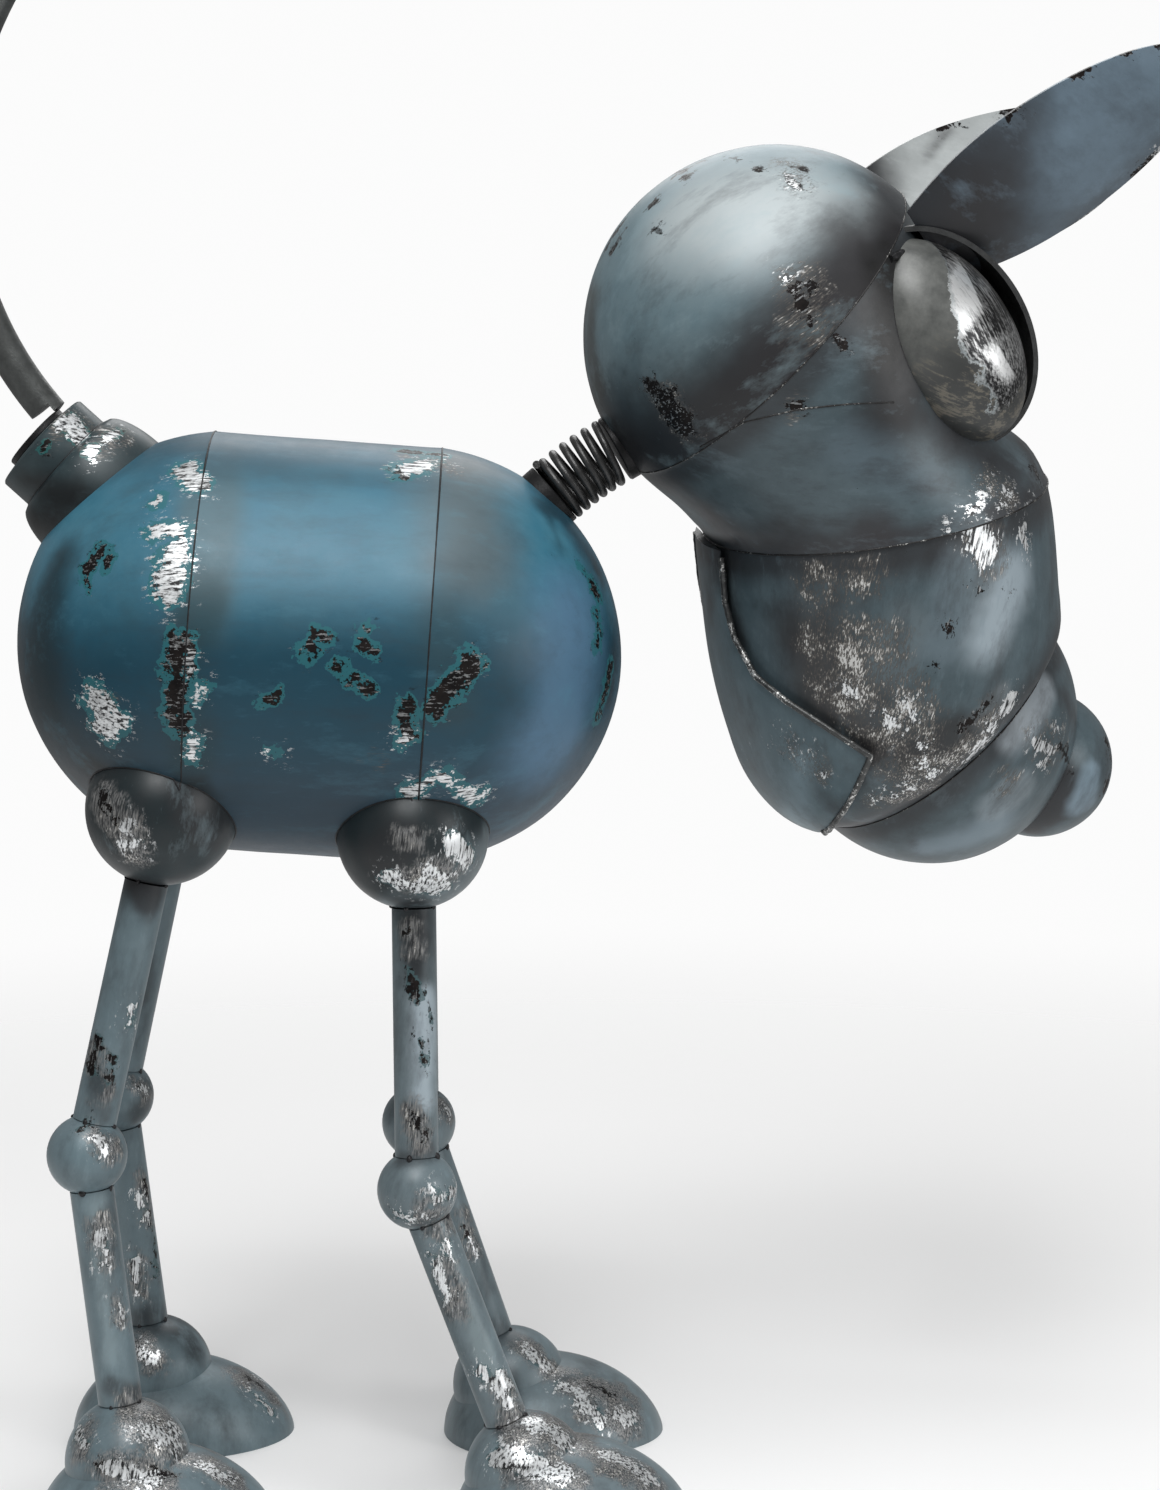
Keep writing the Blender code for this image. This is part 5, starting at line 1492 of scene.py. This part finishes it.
upright = Matrix.Identity(3)
tack_places = []
for tag, (hip, knee, ankle, paw) in LEG_PLACES.items():
    side = -1 if tag.endswith("right") else 1
    hip, knee, ankle = (ROOT + Vector((x, side * y, z)) for x, y, z in (hip, knee, ankle))
    paw_at = ROOT + Vector((paw[0], side * paw[1], 0.0))
    pieces = {}
    for name, centre, radius, sides, rows, dents in (
        ("hip", hip, HIP_RADIUS, 72, 40, 0.0004), ("knee", knee, KNEE_RADIUS, 48, 28, 0.0002),
        ("ankle", ankle, ANKLE_RADIUS, 72, 40, 0.0003),
    ):
        rings = ball_rings(centre, (radius,) * 3, upright, sides, rows)
        pieces[name] = ringed(name + "_ball_" + tag, rings, blank, dents)
    if ankle.z < ANKLE_RADIUS + 0.001:
        ground = block("ground", (-0.1, -0.1, -0.1), (0.1, 0.1, 0.0006), Matrix.Translation(paw_at))
        pieces["ankle"] = solid_of(pieces["ankle"], ("DIFFERENCE", ground))
    for name, start, end, radii in (
        ("upper_leg", hip, knee, (HIP_RADIUS, KNEE_RADIUS)),
        ("lower_leg", knee, ankle, (KNEE_RADIUS, ANKLE_RADIUS)),
    ):
        run = (end - start).normalized()
        first = start + run * (math.sqrt(radii[0] ** 2 - TUBE_RADIUS**2) + END_GAP)
        last = end - run * (math.sqrt(radii[1] ** 2 - TUBE_RADIUS**2) + END_GAP)
        path = [first + (last - first) * k / 20 for k in range(21)]
        pieces[name] = swept(name + "_tube_" + tag, path, TUBE_RADIUS, 48, blank)
        across = run.cross(Vector((0, 1, 0))).normalized()
        other = run.cross(across)
        for place, way in ((first, 1), (last, -1)):
            for turn in (0.4, 1.9, 3.4, 4.9):
                rim = across * math.cos(turn) + other * math.sin(turn)
                tack_places.append(place + rim * (TUBE_RADIUS - 0.0004) - run * (way * 0.0006))
    paw_rings = []
    for i in range(33):
        lift = math.pi / 2 * i / 32
        height, spread = math.sin(lift), math.cos(lift)
        ring = []
        for k in range(72 if i < 32 else 1):
            angle = math.tau * k / 72
            ahead = spread * math.cos(angle)
            length = PAW_TOE if ahead > 0 else PAW_HEEL
            slope = 1.0 + (PAW_TOE_SLOPE - 1.0) * max(0.0, ahead)
            local = (ahead * length, spread * math.sin(angle) * PAW_HALF_WIDTH, height**slope * PAW_HEIGHT)
            ring.append(paw_at + Vector(local))
        paw_rings.append(ring)
    pieces["paw"] = ringed("paw_shell_" + tag, paw_rings, blank)
    surface = surface_of(*pieces.values())
    leg_look = dict(
        blue=(0.090, 0.130, 0.148),
        pale=(0.150, 0.205, 0.228),
        fold=(ROOT + Vector((0, side * 0.078, 0)), (0, 1, 0)),
        shades=[
            # Painted shade over the hip ball, under the body.
            (hip - Vector((0, 0, 0.030)), (0, 0, 1), -0.034, -0.010, (0.006, 0.011, 0.013), 0.95),
            # Painted light on the hip ball's lower front side: strong on the front legs, faint on the rear
            # ones.
            (
                hip - Vector((0.010, 0, 0)), (0.6, 0, -0.8), 0.016, 0.036, (0.130, 0.165, 0.180),
                0.75 if tag.startswith("front") else 0.15,
            ),
        ],
        strokes=(0.0, 1.45, 0.0), undercoat=(0.045, 0.090, 0.098), halo=0.0012, specks=0.020, ragged=0.005,
        buffed=0.85, mottling=1.5, marks_on=surface,
        **leg_marks[tag],
    )
    for name, piece in pieces.items():
        painted_steel(piece, name + "_paint_" + tag, **leg_look)
        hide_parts(name + "_" + tag)
        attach(piece, "body")


tacks = Growth("tacks", {"Size": "Float", "Seed": "Int", "Metal": "Material"})
points = tacks.add("GeometryNodeMeshToPoints", inputs={"Mesh": tacks.given["Paths"]})
lump = tacks.add("GeometryNodeMeshIcoSphere", inputs={"Radius": tacks.given["Size"], "Subdivisions": 2})
limits = {0: (0.5, 0.5, 0.6), 1: (1.3, 1.3, 1.7), "Seed": tacks.given["Seed"]}
stretch = tacks.add("FunctionNodeRandomValue", {"data_type": "FLOAT_VECTOR"}, limits)
tacks.finish(tacks.add(
    "GeometryNodeInstanceOnPoints", inputs={"Points": points, "Instance": lump, "Scale": stretch}
))
leg_tacks = tacks.grow(
    "leg_tacks", [([place], False) for place in tack_places], Size=0.0019, Seed=7, Metal=weld_metal
)
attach(leg_tacks, "body")


# Weld seams: the shells' seams are ground down to fine dark lines; where a ball or bell is set on a
# shell, a fine fillet runs round it.

SEAM_RADIUS = 0.0005
SEAM_SINK = 0.0004
SHORTEST_FILLET = 20


def seam_circle(place, angle, radius, count=160, matrix=Matrix.Identity(4)):
    """A ring round a line through a place, in the lengthwise plane at this angle."""
    turn = matrix @ stand(place, angle)
    turns = (math.tau * k / count for k in range(count))
    return [turn @ Vector((radius * math.cos(a), radius * math.sin(a), 0)) for a in turns]


def meeting_line(centre, radii, turn, surface, count=96):
    """Where a ball or egg comes out of a surface: one point each way round its z, from its far pole."""
    matrix = Matrix.Translation(centre) @ turn.to_4x4() @ Matrix.Diagonal((*radii, 1.0))

    def is_inside(point):
        spot, normal, _, _ = surface.find_nearest(point)
        return (point - spot).dot(normal) < 0

    line = []
    for k in range(count):
        angle = math.tau * k / count

        def at(lift):
            flat = math.sin(lift)
            return matrix @ Vector((flat * math.cos(angle), flat * math.sin(angle), -math.cos(lift)))

        low, high = 0.0, math.pi
        if is_inside(at(low)) or not is_inside(at(high)):
            continue
        for _ in range(18):
            middle = (low + high) / 2
            if is_inside(at(middle)):
                high = middle
            else:
                low = middle
        line.append(at(high))
    return line


body_lines = [
    (seam_circle(front_seam, -BODY_PITCH, DRUM_RADIUS - SEAM_SINK), True),
    (seam_circle(rear_seam, -BODY_PITCH, DRUM_RADIUS - SEAM_SINK), True),
    (seam_circle(TAIL_SEAM, BELL_AIM, BELL_TOP_RADIUS - 0.0014, 72), True),
]
for tag, (hip, knee, ankle, paw) in LEG_PLACES.items():
    side = -1 if tag.endswith("right") else 1
    hip_at = ROOT + Vector((hip[0], side * hip[1], hip[2]))
    line = meeting_line(hip_at, (HIP_RADIUS,) * 3, upright, body_surface)
    if len(line) > SHORTEST_FILLET:
        body_lines.append((line, True))
body_welds = bead.grow(
    "body_seams", body_lines, Radius=SEAM_RADIUS, Unevenness=0.9, Pitch=0.0018, Sides=8, Metal=weld_metal
)
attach(body_welds, "body")


def drawn_lines(surface, *marks):
    """Two lines: one on the head under these places of the picture, and its mirror on the far side."""
    line = []
    for (x, y), (far_x, far_y) in zip(marks, marks[1:]):
        for k in range(5):
            line.append(Vector(seen(surface, x + (far_x - x) * k / 5, y + (far_y - y) * k / 5)))
    middle = head_place.translation
    mirrored = [point - 2 * (point - middle).dot(head_left) * head_left for point in line]
    return [(line, False), (mirrored, False)]


hood_tacks = bead.grow(
    "hood_tacks", drawn_lines(head_surface, (890, 259), (903, 253), (916, 250)),
    Radius=0.0024, Unevenness=1.2, Pitch=0.0016, Sides=10, Metal=weld_metal,
)
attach(hood_tacks, "head")
seam_metal = dark_steel("seam_metal", (0.030, 0.029, 0.029), (0.30, 0.30, 0.29), 0.11, 0.42)
head_lines = [
    (seam_circle(brow_middle, brow_aim, brow_radius - SEAM_SINK, matrix=head_place), True),
    (face_rings(-SEAM_SINK, 160, 12)[-1], True),
    (seam_circle(nose_seam, nose_aim, nose_rim - SEAM_SINK, matrix=head_place), True),
    *drawn_lines(head_surface, (700, 447), (745, 422), (800, 409), (850, 404), (905, 402)),
]
head_welds = bead.grow(
    "head_seams", head_lines, Radius=SEAM_RADIUS, Unevenness=1.3, Pitch=0.0018, Sides=8, Metal=seam_metal
)
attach(head_welds, "head")


# Floor and light: a round pale floor that fades out at its edge into a white surround, two broad soft
# lights high in front, and weak ones from the right and from above behind.

FLOOR_RADIUS = 2.6
FLOOR_SOLID_RADIUS = 0.45

floor_recipe = Recipe("floor")
floor_shade = floor_recipe.mix(floor_recipe.cloud(0.4, 2.0) * 0.3, (0.88, 0.88, 0.88), (0.85, 0.85, 0.85))
from_middle = floor_recipe.length(floor_recipe.place)
fading = from_middle.rise(FLOOR_RADIUS * 0.8, FLOOR_SOLID_RADIUS)
for socket, value in (("Base Color", floor_shade), ("Roughness", 0.9), ("Alpha", fading)):
    floor_recipe.feed(floor_recipe.shader.inputs[socket], value)
floor_bm = bmesh.new()
bmesh.ops.create_circle(floor_bm, cap_ends=True, segments=96, radius=FLOOR_RADIUS)
floor = finish_mesh("floor", floor_bm, floor_recipe.material)

LIGHTS = (
    ("key", (-0.35, -1.75, 2.5), 1.1, 40.0),
    ("top", (-0.1, -0.7, 2.9), 1.7, 38.0),
    ("fill", (2.1, -1.3, 0.9), 1.0, 19.0),
    ("back", (0.1, 1.6, 1.9), 1.2, 12.0),
)
for name, place, size, power in LIGHTS:
    lamp_data = bpy.data.lights.new(name, "AREA")
    lamp_data.size = size
    lamp_data.energy = power
    lamp = bpy.data.objects.new(name, lamp_data)
    lamp.location = place
    aim_at = Vector((0.0, 0.0, 0.5)) - Vector(place)
    lamp.rotation_euler = aim_at.to_track_quat("-Z", "Y").to_euler()
    bpy.context.scene.collection.objects.link(lamp)

SURROUND_GLOW = 0.26
world = bpy.data.worlds.new("surround")
world.use_nodes = True
sky = Nodes(world.node_tree)
backing = sky.tree.nodes["Background"]
sky.feed(backing.inputs["Color"], (0.97, 0.97, 0.97))
sky.feed(backing.inputs["Strength"], 1.0)
glow = sky.add("ShaderNodeBackground", inputs={"Color": (1.0, 1.0, 1.0), "Strength": SURROUND_GLOW})
to_camera = sky.add("ShaderNodeLightPath", output="Is Camera Ray")
shares = {"Fac": to_camera, 1: glow, 2: Amount(sky, backing.outputs["Background"])}
seen_or_lit = sky.add("ShaderNodeMixShader", inputs=shares)
sky.feed(sky.tree.nodes["World Output"].inputs["Surface"], seen_or_lit)
bpy.context.scene.world = world
bpy.context.scene.view_settings.view_transform = "Standard"
